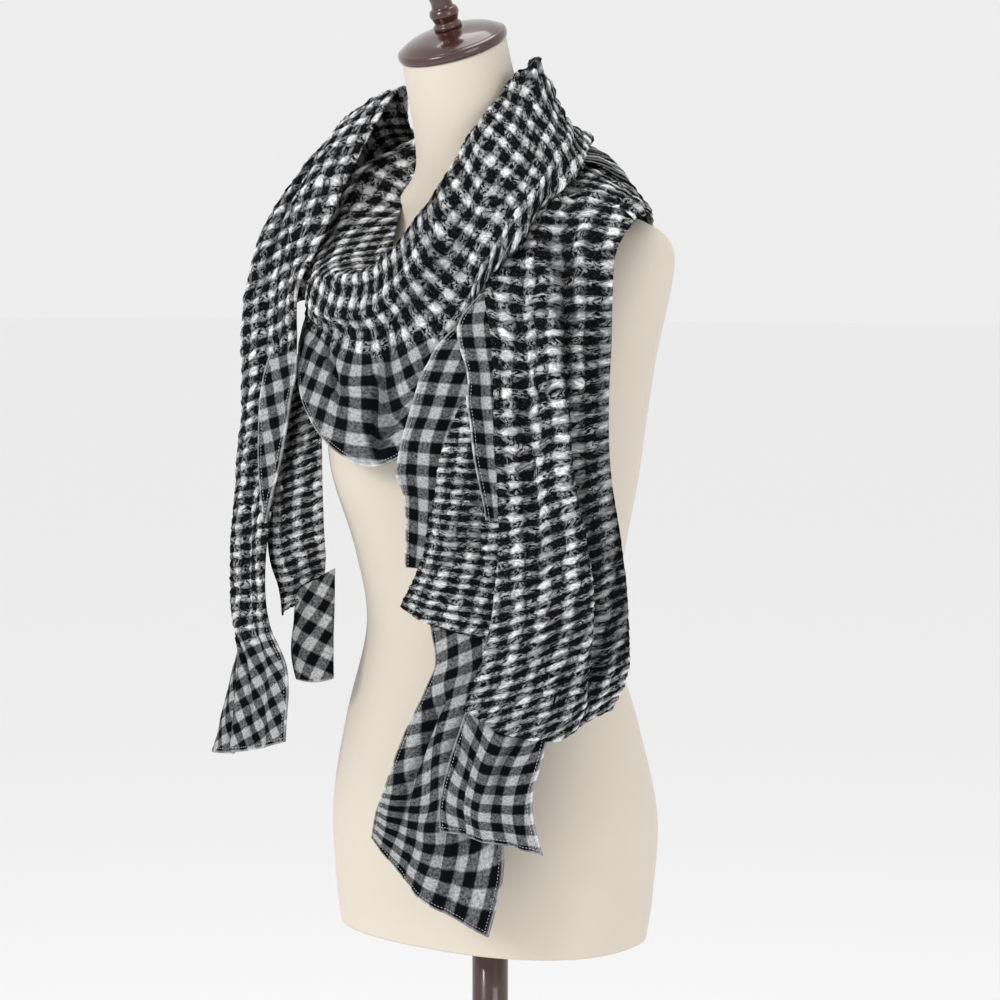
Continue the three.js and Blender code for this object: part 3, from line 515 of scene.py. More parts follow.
def crease_lift(flat, s, t, creases):
    """How far creases lift or sink a sheet, and how far what they take in moves its checks."""
    lift, taken = np.zeros(s.shape), np.zeros(flat.shape)
    for fold in creases:
        start, end = (flat[np.abs(t[:, 0] - place[0]).argmin(), np.abs(s[0] - place[1]).argmin()]
                      for place in (fold["start"], fold["end"]))
        line = end - start
        sideways = np.array((-line[1], line[0]))
        length = math.hypot(*line)
        along = (flat - start) @ line / length ** 2
        across = (flat - start) @ sideways / length
        across = across - fold["bend"] * np.sin(np.pi * np.clip(along, 0, 1))
        across = across + 0.25 * fold["width"] * lattice_noise(along * length / 35, 0 * along, int(length))
        strength = smooth(along, -0.05, 0.25) * (1 - smooth(along, fold["fade"], 1.05))
        width = fold["width"] * np.where((across < 0) & (fold["take"] > 0), 0.45, 1)
        lift += fold["height"] * strength * np.exp(-((across / width) ** 2))
        moved = fold["take"] * strength * smooth(across, -2, 0) * np.exp(-np.maximum(across, 0) / 90)
        taken += moved[..., None] * sideways / length
    return lift, taken


def pucker_lift(u, v, seed, height=2.5):
    """How far the elastic threads puff each check out, and how deep each point is in a pucker, 0 to 1, which
    is painted as shade.
    """
    dome = (np.abs(np.sin(np.pi * u)) ** 0.5) * (np.abs(np.sin(np.pi * v)) ** 0.6)
    uneven = 0.72 + 0.28 * lattice_noise(u + 0.5, v + 0.5, seed + 3)
    wrinkles = lattice_noise(1.2 * u, 3.3 * v + 0.8 * np.abs(np.mod(u, 2) - 1), seed + 4)
    lumps = lattice_noise(u / 3, v / 3, seed + 5)
    relief = dome * uneven + 0.2 * wrinkles
    return height * (relief - 0.38) + 0.9 * lumps, np.clip(1.1 - 1.6 * relief, 0, 1)


def shell(name, sheet, lining, flat, marks, side, made, closed=False, skip=3):
    """A closed shell of cloth: sheet is its outer face, and lining its plainer inner one, at every
    third point. The cloth's own measure is its UV map, and marks are numbers along its surface."""
    rows, columns = sheet.shape[:2]
    kept = [np.unique(np.append(np.arange(0, count, skip), count - 1)) for count in (rows, columns)]
    few = np.ix_(*kept)
    outer = np.arange(rows * columns).reshape(rows, columns)
    inner = outer.size + np.arange(kept[0].size * kept[1].size).reshape(kept[0].size, kept[1].size)
    quads = np.concatenate([np.stack(corners, axis=-1).reshape(-1, 4) for corners in (
        (outer[:-1, :-1], outer[:-1, 1:], outer[1:, 1:], outer[1:, :-1]),
        (inner[:-1, :-1], inner[1:, :-1], inner[1:, 1:], inner[:-1, 1:]))])
    rims = []

    def rim(edge, lining_edge, places, forward):
        """Faces that close one edge between the outer face and its lining."""
        for k in range(len(places) - 1):
            strip = [*edge[places[k]:places[k + 1] + 1], lining_edge[k + 1], lining_edge[k]]
            rims.append(strip if forward else strip[::-1])

    rim(outer[:, 0], inner[:, 0], kept[0], True)
    rim(outer[:, -1], inner[:, -1], kept[0], False)
    same = np.arange(outer.size + inner.size)
    if closed:
        same[outer[-1]], same[inner[-1]] = outer[0], inner[0]
    else:
        rim(outer[0], inner[0], kept[1], False)
        rim(outer[-1], inner[-1], kept[1], True)
    faces = [list(map(int, face if side > 0 else face[::-1])) for face in (*quads.tolist(), *rims)]
    _, first, vertex = np.unique(same, return_index=True, return_inverse=True)
    points = np.concatenate((sheet.reshape(-1, 3), lining[few].reshape(-1, 3)))[first]
    piece = add_piece(name, points, [[int(vertex[k]) for k in face] for face in faces], made)
    both = np.concatenate((flat.reshape(-1, 2), flat[few].reshape(-1, 2))) * MM
    corners = np.concatenate([np.asarray(face) for face in faces])
    piece.data.uv_layers.new(name="cloth").data.foreach_set("uv", both[corners].ravel())
    for mark, value in marks.items():
        value = np.concatenate((value.ravel(), value[few].ravel()))[first]
        piece.data.attributes.new(mark, "FLOAT", "POINT").data.foreach_set("value", value.astype(np.float32))
    return piece


# Checked cotton: plain weave of black and white threads, eleven millimetres to a check, drawn
# into fine wrinkles where the cloth is puckered. The threads of one way are the warp, which show
# as down strokes, and those of the other are the weft, which show as strokes over it. In the
# puckers the dark between the strokes is painted shade of the wrinkles, and the white checks are
# painted lighter as highlight on the puffs. Points deep in puckers and in crease troughs are
# painted darker as shade, and a thin painted highlight runs along the hems.
checked, wire = material("checked_cotton")
place = wire.node("ShaderNodeUVMap", dict(uv_map="cloth"))
# crinkle says where the cloth is puckered. The second mark is painted shade in puckers and crease troughs,
# and rim is a painted highlight along hem edges.
crinkled, painted_shade, rim = (wire.node("ShaderNodeAttribute", dict(attribute_name=mark), out=2)
                         for mark in ("crinkle", "painted_shade", "rim"))
u, v = (wire.node("ShaderNodeSeparateXYZ", out=way, Vector=place) * (1000 / CHECK) for way in (0, 1))
cells = wire.vector(u, v)
ragged = crinkled.blend(0.05, 0.6)
u, v = (u + (wire.noise(cells, 3.2, 2.0) - 0.5) * ragged,
        v + (wire.noise(wire.vector(u + 31.0, v), 3.2, 2.0) - 0.5) * ragged)
# On every other check of its way each is 1, with an edge of 0.14 of a check.
warp, weft = (wire.maths("PINGPONG", way + 0.5, 1.0).contrast(1 / 0.14) for way in (u, v))
both = warp * weft
zigzag = wire.maths("PINGPONG", u * 2.0, 1.0)
down = wire.noise(wire.vector(u * 5.6, v * 2.0), 1.0, 2.0, 0.6).contrast(9.0, 0.42)
over = wire.noise(wire.vector(u * 2.2, v * 5.2 + zigzag * 1.2), 1.0, 2.0, 0.6).contrast(9.0)
threads = wire.noise(cells, 10.0, 2.0, 0.75)
mixed = wire.noise(cells, 4.5, 4.0, 0.85).contrast(4.5)
# The rim term lightens the checks along a hem's edge as a painted highlight on its roll.
flat_tone = both * (0.22 + mixed * 0.32) + (warp + weft - both * 2.0) * (0.01 + mixed * 0.17) + rim * 0.2
# Puckered whites are lighter than flat ones as a painted highlight on the puffs, and the dark gaps between
# their strokes are painted shade of the wrinkles.
puckered_tone_and_painted_light = (both * (0.62 + over * 0.62) + warp * (1 - weft) * down * 0.42
                 + weft * (1 - warp) * over * 0.5 + (1 - warp) * (1 - weft) * ((threads - 0.6) * 2.0).clamp())
# The colour is darkened by up to 0.8 where the shade mark is high, as painted shade in puckers and crease
# troughs.
tone = (crinkled.blend(flat_tone, puckered_tone_and_painted_light) * (1 - painted_shade * 0.8)).clamp()
relief = crinkled.blend(threads * 0.15, over * 0.6 + down * 0.4)
finish(wire, Base_Color=tone.colours((0.002, 0.0023, 0.0035, 1), (0.93, 0.94, 0.95, 1)), Roughness=0.95,
       Specular_IOR_Level=0.06, Normal=wire.bump(relief, 0.0012, 0.8))


def cowl_sheet(rows, columns):
    """The ring's surface, from its neck edge to its hem."""
    turns = [angle for angle, *_ in cowl_sections]
    places = np.linspace(0, 1, rows + 1)
    angle = np.radians(through(turns + [turns[0] + 360], places))[:, None]
    guides = through([lines for _, *lines in cowl_sections], places, True)
    finer = through(guides.swapaxes(0, 1), np.linspace(0, 1, columns + 1)).swapaxes(0, 1)
    radius, height = np.moveaxis(finer, 2, 0)
    return np.stack((radius * np.sin(angle), NECK_AXIS_Y - radius * np.cos(angle), height), axis=2)


def mean_size(sheet):
    """A sheet's mean width and length, in millimetres."""
    return [step_lengths(sheet, axis).sum(axis=axis).mean() for axis in (1, 0)]


EDGES = dict(top=(0, False), bottom=(0, True), inner=(1, False), outer=(1, True))


def edge_distance(sheet, edge):
    """How far each point is from one edge of the sheet, in millimetres."""
    axis, last = EDGES[edge]
    steps = step_lengths(sheet, axis)
    start = np.zeros_like(np.take(steps, [0], axis=axis))
    run = np.concatenate((start, np.cumsum(steps, axis=axis)), axis=axis)
    return np.take(run, [-1], axis=axis) - run if last else run


def near_edges(sheet, edges, start, end):
    """1 up to start from some of the sheet's edges, and 0 from end on."""
    near = np.zeros(sheet.shape[:2])
    for edge in edges:
        near = np.maximum(near, 1 - smooth(edge_distance(sheet, edge), start, end))
    return near


# Sewing thread, a little greyer than the white checks.
hem_thread, wire = material("hem_thread")
place = wire.node("ShaderNodeTexCoord", out=3)
finish(wire, Base_Color=wire.noise(place, 300.0).colours((0.30, 0.31, 0.32, 1), (0.62, 0.63, 0.64, 1)),
       Roughness=0.85, Normal=wire.bump(wire.ribs(place, 900.0), 0.0001, 0.5))


def stitch_tree():
    """Geometry nodes that lay stitches end to end along the edges of a mesh."""
    tree = bpy.data.node_groups.new("hem_stitches", "GeometryNodeTree")
    tree.interface.new_socket("Geometry", in_out="INPUT", socket_type="NodeSocketGeometry")
    sizes = dict(Spacing="Float", Length="Float", Width="Float", Thread="Material")
    names = {label: tree.interface.new_socket(label, in_out="INPUT",
                                              socket_type="NodeSocket" + kind).identifier
             for label, kind in sizes.items()}
    tree.interface.new_socket("Geometry", in_out="OUTPUT", socket_type="NodeSocketGeometry")

    def node(kind, settings=None, **inputs):
        """One more node, with its settings and its inputs by name."""
        made = tree.nodes.new(kind)
        for label, value in (settings or {}).items():
            setattr(made, label, value)
        for label, value in inputs.items():
            socket = made.inputs[label.replace("_", " ")]
            if isinstance(value, bpy.types.NodeSocket):
                tree.links.new(value, socket)
            else:
                socket.default_value = value
        return made

    given = node("NodeGroupInput").outputs
    line = node("GeometryNodeMeshToCurve", Mesh=given["Geometry"])
    places = node("GeometryNodeResampleCurve", dict(mode="LENGTH"), Curve=line.outputs[0],
                  Length=given["Spacing"])
    way = node("FunctionNodeAlignRotationToVector", dict(axis="Z"),
               Vector=node("GeometryNodeInputTangent").outputs[0])
    size = node("ShaderNodeCombineXYZ", X=given["Width"], Y=given["Width"], Z=given["Length"])
    stitch = node("GeometryNodeMeshIcoSphere", Radius=0.5, Subdivisions=1)
    laid = node("GeometryNodeInstanceOnPoints", Points=places.outputs[0], Instance=stitch.outputs[0],
                Rotation=way.outputs[0], Scale=size.outputs[0])
    real = node("GeometryNodeRealizeInstances", Geometry=laid.outputs[0])
    dressed = node("GeometryNodeSetMaterial", Geometry=real.outputs[0], Material=given["Thread"])
    tree.links.new(dressed.outputs[0], node("NodeGroupOutput").inputs[0])
    return tree, names


stitch_nodes, stitch_inputs = stitch_tree()
stitch_sizes = dict(Spacing=3 * MM, Length=2.1 * MM, Width=0.55 * MM, Thread=hem_thread)


def stitched(name, lines):
    """Stitches along some lines of points, as one piece."""
    mesh = bpy.data.meshes.new(name)
    starts = np.cumsum([0] + [len(line) for line in lines])
    edges = [(k, k + 1) for a, b in zip(starts, starts[1:]) for k in range(int(a), int(b) - 1)]
    mesh.from_pydata((np.concatenate(lines) * MM).tolist(), edges, [])
    piece = in_scene(name, mesh)
    modifier = piece.modifiers.new("stitches", "NODES")
    modifier.node_group = stitch_nodes
    for label, value in stitch_sizes.items():
        modifier[stitch_inputs[label]] = value
    bpy.context.view_layer.update()
    laid = piece.evaluated_get(bpy.context.evaluated_depsgraph_get())
    piece.data = bpy.data.meshes.new_from_object(laid)
    piece.modifiers.clear()
    piece.data.name = name
    piece.data.shade_smooth()
    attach(piece, "root")
    return piece


def hem_line(sheet, crinkle, edge):
    """Where one hem is sewn, as points along it, where the cloth has no puckers."""
    axis, last = EDGES[edge]
    away, points, puckers = (np.moveaxis(values, axis, 0)
                             for values in (edge_distance(sheet, edge), sheet, crinkle))
    if last:
        away, points, puckers = away[::-1], points[::-1], puckers[::-1]
    return np.array([[np.interp(HEM - 0.5, away[:, k], points[:, k, way]) for way in range(3)]
                     for k in range(away.shape[1]) if puckers[0, k] < 0.5])


def at_rows(t, table):
    """A value at each place t down a sheet, from values at some places, or from one for all of it."""
    return np.interp(t, *zip(*table)) if isinstance(table, tuple) else np.full(t.shape, float(table))


# How far puckered checks wander, in checks, and in millimetres how high the border's own ripples
# are, how high, wide and long the gathers beside the puckers are, and how far a hem stands out.
CHECK_WANDER = 0.28
RIPPLE_HEIGHT = 0.5
GATHER_HEIGHT = 1.2
GATHER_WIDTH = 6.5
GATHER_REACH = 20
HEM_ROLL = 0.8


def finished(name, base, rows, columns, at, side, seed, puckered, across, along, loose=(0.92, 0.92), give=0,
             square=0, slant=0, sag=0, turn=0, creases=(), gathers=(), hems=(), closed=False):
    """A stretch of the scarf in its finished form, and the stitches of its hems. at is the row and
    column where its checks run true. across and along are how short its puckers draw it, slant, sag
    and turn how far its checks rise, hang or turn, and give and square go to measured(): each of
    these is one value or a table down the rows. loose is the draw where it has no puckers."""
    sheet = refined(base, rows, columns, closed)
    t = np.broadcast_to(rows[:, None], sheet.shape[:2])
    s = np.broadcast_to(columns[None, :], sheet.shape[:2])
    crinkle = puckered(t, s, sheet)
    drawn = running_mean(crinkle, 21, 1)
    across, along, slant, sag, turn = (at_rows(t, table) for table in (across, along, slant, sag, turn))
    flat = measured(sheet, at, loose[0] + (across - loose[0]) * drawn, loose[1] + (along - loose[1]) * drawn,
                    at_rows(t[:-1, :1], give), at_rows(t[:, :1], square), closed)
    plain = measured(sheet, (0, 0))
    folds, taken = crease_lift(plain, s, t, creases)
    u, v = (flat[..., way] + taken[..., way] for way in (0, 1))
    v = v + np.tan(np.radians(slant)) * u - sag * (1 - ((s - 0.55) / 0.55) ** 2)
    spin = np.radians(turn)
    u, v = np.cos(spin) * u - np.sin(spin) * v, np.sin(spin) * u + np.cos(spin) * v
    a, b = u / CHECK, v / CHECK
    if not closed:
        waver = CHECK_WANDER * crinkle
        a, b = (a + waver * lattice_noise(1.1 * a, 1.4 * b, seed + 1),
                b + waver * lattice_noise(1.1 * a + 40, 1.4 * b, seed + 2))
    puff, deep = pucker_lift(a, b, seed)

    # Gathers run from where the puckers end, and from any edge that is sewn into them.
    gather = np.maximum(running_mean(crinkle, 27, 1), running_mean(crinkle, 27, 0)) * 1.4 * (1 - crinkle)
    for edge in gathers:
        gather = np.maximum(gather, np.exp(-edge_distance(sheet, edge) / GATHER_REACH))
    pleat = plain[..., 1 if closed else 0]
    ripple = RIPPLE_HEIGHT * lattice_noise(a * 0.7, b * 0.7, seed + 6) * (1 - crinkle)
    ripple = ripple + GATHER_HEIGHT * gather * lattice_noise(pleat / GATHER_WIDTH, 0.02 * pleat, seed + 7)

    out = outward(sheet, side, closed)
    roll = HEM_ROLL * (near_edges(sheet, hems, HEM - 0.6, HEM + 0.6) * (1 - crinkle))
    lining = sheet + out * (folds + ripple - CLOTH)[..., None]
    sheet = sheet + out * (crinkle * puff + folds + roll + ripple)[..., None]
    # Painted shade: points deep in the puckers and in crease troughs are darkened in the cloth's colour.
    painted_shade = np.clip(deep * crinkle + np.clip(-(folds + ripple) / 7, 0, 0.6), 0, 1)
    # Painted highlight: a thin line along the hemmed edges of flat cloth, lighter in the cloth's colour.
    rim = near_edges(sheet, hems, 0.9, 1.7) * (1 - crinkle)
    marks = dict(crinkle=crinkle, painted_shade=painted_shade, rim=rim)
    piece = shell(name, sheet, lining, np.stack((a, b), axis=2) * CHECK, marks, side, checked, closed)
    "puckered_check" if crinkle.mean() > 0.5 else "flat_check"
    lines = [hem_line(sheet + 0.1 * out, crinkle, edge) for edge in hems]
    lines = [line for line in lines if len(line) > 1]
    return piece, [stitched(name + "_stitches", lines)] if lines else []


def cowl_puckers(t, s, sheet):
    """Puckers all round the roll, and down to the hem but for the pouch in front."""
    facing = np.degrees(np.arctan2(sheet[..., 0], NECK_AXIS_Y - sheet[..., 1]))
    ragged = 0.012 * lattice_noise(facing / 4.5, 0 * t, 5) + 0.006 * lattice_noise(facing / 1.8, 0 * t, 6)
    edge = np.interp(facing, (-60, 14, 30, 42), (0.75, 0.75, 0.84, 1.1))
    return np.maximum(1 - smooth(s + ragged, edge - 0.015, edge + 0.015), 1 - smooth(facing, -66, -60))


cowl_creases = [
    crease((0.30, 0.76), (0.35, 0.90), -7, 6, bend=3, take=7),
    crease((0.42, 0.76), (0.43, 0.97), -9, 7, bend=-4, fade=0.8, take=7),
    crease((0.40, 0.76), (0.41, 0.95), 3, 6, bend=-4, fade=0.8),
    crease((0.36, 0.76), (0.37, 0.90), 1.8, 7),
    crease((0.46, 0.77), (0.47, 0.92), 1.8, 8, bend=3),
    crease((0.50, 0.77), (0.51, 0.95), -2.0, 6, take=3),
    crease((0.20, 0.52), (0.37, 0.70), -2.2, 8, bend=-6),
    crease((0.63, 0.60), (0.45, 0.64), -2.4, 9, bend=5),
    crease((0.60, 0.36), (0.42, 0.42), -2.0, 8, bend=-4),
    crease((0.14, 0.40), (0.33, 0.36), -2.0, 8),
    crease((0.80, 0.62), (0.96, 0.58), -2.6, 9),
    crease((0.95, 0.35), (0.80, 0.32), -2.0, 8),
]
COWL_WIDTH = 300  # rounded up from its widest, at the pouch
base = seated(cowl_sheet(52, 14), "cowl", 1, closed=True)
cowl, stitches = finished("cowl_cloth", base, spaced(420), spaced(126, COWL_WIDTH, (False, True)),
                          at=(0.45, 0.74), side=1, seed=11, puckered=cowl_puckers,
                          across=((0, 0.95), (0.6, 0.95), (0.75, 0.8)),
                          along=((0, 0.88), (0.5, 0.88), (0.65, 0.75), (0.8, 0.7)), loose=(0.92, 1.06),
                          give=0.3, square=1, creases=cowl_creases, hems=("outer",), closed=True)
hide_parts("cowl")


# ---- second pass and right fall ----
# The scarf's second end: from under the roll at the left shoulder it crosses the back, lies over
# the roll on the right shoulder and hangs down the right front to a flat pointed tip.
def section(inner, outer, bow, rise=0, peak=0.5):
    """A line across a hanging stretch, between its two edges. It bows out from them by bow, rise
    degrees above level, and furthest at peak, from 0 to 1."""
    return (*inner, *outer, bow, rise, peak)


back_and_right_sections = [
    section((62, -4, 1450), (96, -34, 1422), 3, 70),
    section((54, 16, 1456), (118, 16, 1398), 5, 75),
    section((41, 33, 1460), (128, 64, 1338), 10, 65),
    section((22, 46, 1463), (98, 104, 1280), 12, 50),
    section((-2, 49, 1463), (36, 118, 1244), 10, 45),
    section((-29, 45, 1461), (-34, 122, 1234), 10, 45, 0.45),
    section((-55, 38, 1450), (-104, 114, 1244), 20, 55, 0.4),
    section((-88, 33, 1444), (-166, 88, 1272), 40, 70, 0.36),
    section((-95, 6, 1474), (-214, 48, 1302), 50, 80, 0.36),
    section((-80, -20, 1506), (-226, 10, 1318), 44, 80, 0.42),
    section((-83, -50, 1480), (-230, -14, 1305), 44, 68, 0.44),
    section((-96, -86, 1412), (-234, -26, 1290), 44, 50, 0.44),
    section((-104, -106, 1352), (-236, -34, 1266), 38, 26, 0.46),
    section((-116, -116, 1290), (-236, -38, 1238), 30, 6),
    section((-124, -122, 1236), (-234, -42, 1196), 26),
    section((-137, -127, 1170), (-234, -50, 1140), 24),
    section((-149, -130, 1095), (-234, -58, 1080), 20),
    section((-146, -131, 1040), (-228, -68, 1032), 17),
    section((-124, -130, 994), (-232, -84, 986), 14),
    section((-127, -130, 932), (-238, -106, 908), 10, -20),
]


def hanging_sheet(sections, rows, columns):
    """The surface through its sections, which bows away from the form's own axis."""
    row = through(sections, np.linspace(0, 1, rows + 1))[:, None, :]
    across = np.linspace(0, 1, columns + 1)[None, :, None]
    inner, chord = row[..., 0:3], row[..., 3:6] - row[..., 0:3]
    bow, rise, peak = row[..., 6:7], np.radians(row[..., 7:8]), row[..., 8:9]
    level = np.concatenate((chord[..., 1:2], -chord[..., 0:1], 0 * bow), axis=2)
    level /= np.linalg.norm(level, axis=2, keepdims=True)
    middle = inner + 0.5 * chord
    level *= np.where(np.sum(level * middle, axis=2, keepdims=True) < 0, -1, 1)
    direction = level * np.cos(rise)
    direction[..., 2:] = np.sin(rise)
    line = chord / np.linalg.norm(chord, axis=2, keepdims=True)
    direction -= line * np.sum(direction * line, axis=2, keepdims=True)
    direction /= np.linalg.norm(direction, axis=2, keepdims=True)
    arch = np.sin(np.pi * across ** (np.log(0.5) / np.log(peak)))
    return inner + chord * across + direction * bow * arch


def all_puckered(t, s, sheet):
    """Puckers all over, for the scarf's middle."""
    return np.ones(s.shape)


def all_flat(t, s, sheet):
    """No puckers, for its border."""
    return np.zeros(s.shape)


LEFT, RIGHT = -1, 1


def stretch(name, node, sections, side, grid, fine, held, rests_on, puckered=all_puckered, across=0.92,
            along=0.92, hems=(), **pattern):
    """One hanging stretch of the scarf, in the place of its node. grid is its solid's own rows and
    columns, and fine the finished ones. The rest is what finished() takes, and how it is held and
    what it rests on, which are not used."""
    base = seated(hanging_sheet(sections, *grid), node, side)
    width, length = mean_size(base)
    rows = spaced(fine[0], length, ("top" in hems, "bottom" in hems))
    columns = spaced(fine[1], width, ("inner" in hems, "outer" in hems))
    piece, stitches = finished(name, base, rows, columns, side=side, puckered=puckered, across=across,
                               along=along, hems=hems, **pattern)
    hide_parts(node)


def right_fall_puckers(t, s, sheet):
    """Puckers down to the flat border at the fall's tip."""
    ragged = 8 * lattice_noise(s * 22, t * 0, 8)
    return smooth(sheet[..., 2] + ragged + 30 * s, 1020, 1040)


right_fall_creases = [
    crease((0.44, 0.30), (0.66, 0.40), -4.5, 9, bend=4),
    crease((0.47, 0.62), (0.78, 0.66), -5, 9, bend=-5),
    crease((0.58, 0.14), (0.86, 0.22), -3, 7),
    crease((0.70, 0.50), (0.98, 0.56), -3.2, 8, bend=4),
    crease((0.74, 0.82), (0.97, 0.84), -2.6, 8),
    crease((0.87, 0.68), (1.00, 0.36), -4.5, 7, bend=6, fade=0.9, take=5),
    crease((0.88, 0.30), (1.00, 0.42), 3.0, 9, fade=0.9),
    crease((0.89, 0.70), (1.00, 0.74), -3.0, 7, fade=0.9),
    crease((0.50, 0.46), (0.70, 0.53), 2.5, 10),
    crease((0.06, 0.45), (0.40, 0.50), -3.5, 10, bend=-8),
    crease((0.10, 0.72), (0.42, 0.75), -3.5, 11, bend=8),
    crease((0.12, 0.24), (0.38, 0.22), -3, 9),
    crease((0.16, 0.58), (0.38, 0.62), 2.5, 12),
]
stretch("back_and_right_cloth", "back_and_right_fall", back_and_right_sections, RIGHT, (64, 11), (640, 99),
        held="draped", rests_on=["torso_cover", "cowl_cloth"], at=(0.93, 0.4), seed=20,
        puckered=right_fall_puckers, across=0.9, along=((0, 0.85), (0.6, 0.82), (0.75, 0.62), (0.9, 0.6)),
        loose=(0.8, 0.78), give=((0.42, 1), (0.5, 0)), square=((0.4, 1), (0.5, 0)),
        slant=((0, 0), (0.4, -10), (0.5, -28), (0.8, -14), (0.92, 0)),
        turn=((0, 0), (0.88, 0), (0.95, -30)), creases=right_fall_creases, hems=("inner", "bottom"))


# ---- right inner fall ----
# Layer of the same end that hangs inside the right fall, puckered down to a slanting edge. Its
# top is tucked under the cowl's hem.
right_inner_sections = [
    section((-126, -93, 1302), (-108, -92, 1300), 1),
    section((-134, -100, 1272), (-108, -96, 1270), 2),
    section((-140, -106, 1230), (-106, -102, 1228), 4),
    section((-150, -111, 1190), (-104, -105, 1190), 6),
    section((-158, -114, 1140), (-102, -106, 1138), 8),
    section((-160, -118, 1085), (-101, -106, 1094), 9),
    section((-151, -124, 1042), (-102, -108, 1070), 7),
]
stretch("right_inner_cloth", "right_inner_fall", right_inner_sections, RIGHT, (18, 5), (150, 30),
        held="hung", rests_on=["cowl_cloth"], at=(0.9, 0.5), seed=30, across=0.95, along=0.42,
        creases=[crease((0.1, 0.6), (0.9, 0.55), -2.5, 6)])


# ---- right inner border ----
# Flat border below that edge. Its checks run on the slant, it is gathered where it leaves the
# puckers, and its lower edge is hemmed.
right_inner_border_sections = [
    section((-136, -104, 1062), (-100, -93, 1084), 2),
    section((-134, -109, 1036), (-97, -97, 1050), 3),
    section((-132, -114, 1008), (-94, -102, 1020), 5),
    section((-126, -115, 986), (-93, -103, 988), 4, -40),
]
stretch("right_inner_border_cloth", "right_inner_border", right_inner_border_sections, RIGHT, (8, 4),
        (54, 27), held="hung", rests_on=["right_inner_cloth"], at=(0.5, 0.5), seed=40, puckered=all_flat,
        gathers=("top",), turn=-38, hems=("bottom",),
        creases=[crease((0.0, 0.3), (0.9, 0.45), -2.5, 5),
                 crease((0.1, 0.7), (0.9, 0.75), 2, 5)])


# ---- right border fold ----
# Corner of the flat border turned over on the right fall's inner edge. It narrows to a point,
# and both its edges are hemmed.
right_fold_sections = [
    section((-116, -119, 1272), (-146, -125, 1272), 0),
    section((-118, -121, 1246), (-153, -128, 1248), 3),
    section((-122, -129, 1212), (-156, -130, 1216), 1),
    section((-130, -131, 1176), (-156, -131, 1180), 1),
    section((-141, -132, 1144), (-153, -131, 1146), 0),
    section((-147, -132, 1124), (-151, -131, 1125), 0),
]
stretch("right_border_fold_cloth", "right_border_fold", right_fold_sections, RIGHT, (14, 4), (84, 24),
        held="folded", rests_on=["back_and_right_cloth"], at=(0.3, 0.3), seed=50, puckered=all_flat,
        turn=-22, hems=("inner", "outer"), creases=[crease((0.05, 0.5), (0.7, 0.5), -2, 4)])


# ---- left outer fall ----
# First end of the scarf: from under the second pass over the left shoulder and down the left
# front, puckered, with two deep folds down its outer side.
left_outer_sections = [
    section((24, 70, 1400), (84, 100, 1310), 6, 50),
    section((46, 52, 1416), (126, 68, 1346), 8, 60),
    section((56, 22, 1436), (152, 30, 1391), 12, 85),
    section((62, -12, 1442), (176, -12, 1391), 14, 80),
    section((68, -50, 1420), (190, -50, 1384), 15, 60),
    section((78, -86, 1376), (193, -80, 1360), 16, 25),
    section((93, -108, 1334), (194, -88, 1326), 16),
    section((103, -122, 1290), (194, -90, 1284), 17),
    section((111, -133, 1236), (192, -89, 1232), 19),
    section((117, -139, 1180), (192, -84, 1178), 21),
    section((120, -142, 1125), (197, -75, 1123), 24),
    section((116, -144, 1068), (200, -68, 1066), 26),
    section((103, -146, 1016), (198, -66, 1018), 24, -10),
    section((92, -148, 985), (184, -72, 984), 20, -45),
]
left_outer_creases = [
    crease((0.36, 0.52), (0.74, 0.745), -12, 8, bend=-2, fade=0.95),
    crease((0.62, 0.71), (0.98, 0.78), -11, 8, fade=0.8),
    crease((0.38, 0.88), (0.92, 0.92), -4, 20, fade=0.9),
    crease((0.38, 0.36), (0.80, 0.58), 2.5, 11),
    crease((0.22, 0.42), (0.52, 0.86), -2.5, 7, bend=4),
    crease((0.25, 0.66), (0.60, 0.97), 2.5, 9),
    crease((0.55, 0.20), (0.95, 0.36), -2, 9, bend=5),
    crease((0.84, 0.45), (0.99, 0.62), -2.5, 7),
    crease((0.08, 0.35), (0.30, 0.24), -2.5, 8),
    crease((0.04, 0.65), (0.26, 0.60), -2.5, 9),
]
stretch("left_outer_cloth", "left_outer_fall", left_outer_sections, LEFT, (40, 8), (390, 99),
        held="draped", rests_on=["torso_cover"], at=(0.45, 0.3), seed=60,
        across=((0, 1.0), (0.45, 1.12), (0.78, 1.1), (0.92, 0.88)),
        along=((0, 0.7), (0.4, 0.74), (0.6, 0.7), (0.72, 0.58), (0.85, 0.5), (1, 0.46)),
        slant=((0, 0), (0.45, 5), (0.6, 26), (0.72, 38), (0.85, 44)), creases=left_outer_creases)


# ---- shoulder tuck ----
# Small loop of the same puckered cloth, tucked under so that it stands over the left
# shoulder's edge.
tuck_sections = [
    section((172, -24, 1404), (184, -22, 1392), 2, 60),
    section((173, -34, 1405), (192, -31, 1391), 6, 60),
    section((175, -44, 1402), (193, -41, 1388), 6, 60),
    section((177, -54, 1396), (189, -52, 1383), 2, 60),
]
stretch("shoulder_tuck_cloth", "shoulder_tuck", tuck_sections, LEFT, (8, 5), (30, 21),
        held="folded", rests_on=["left_outer_cloth"], at=(0.5, 0.5), seed=70, along=0.75)


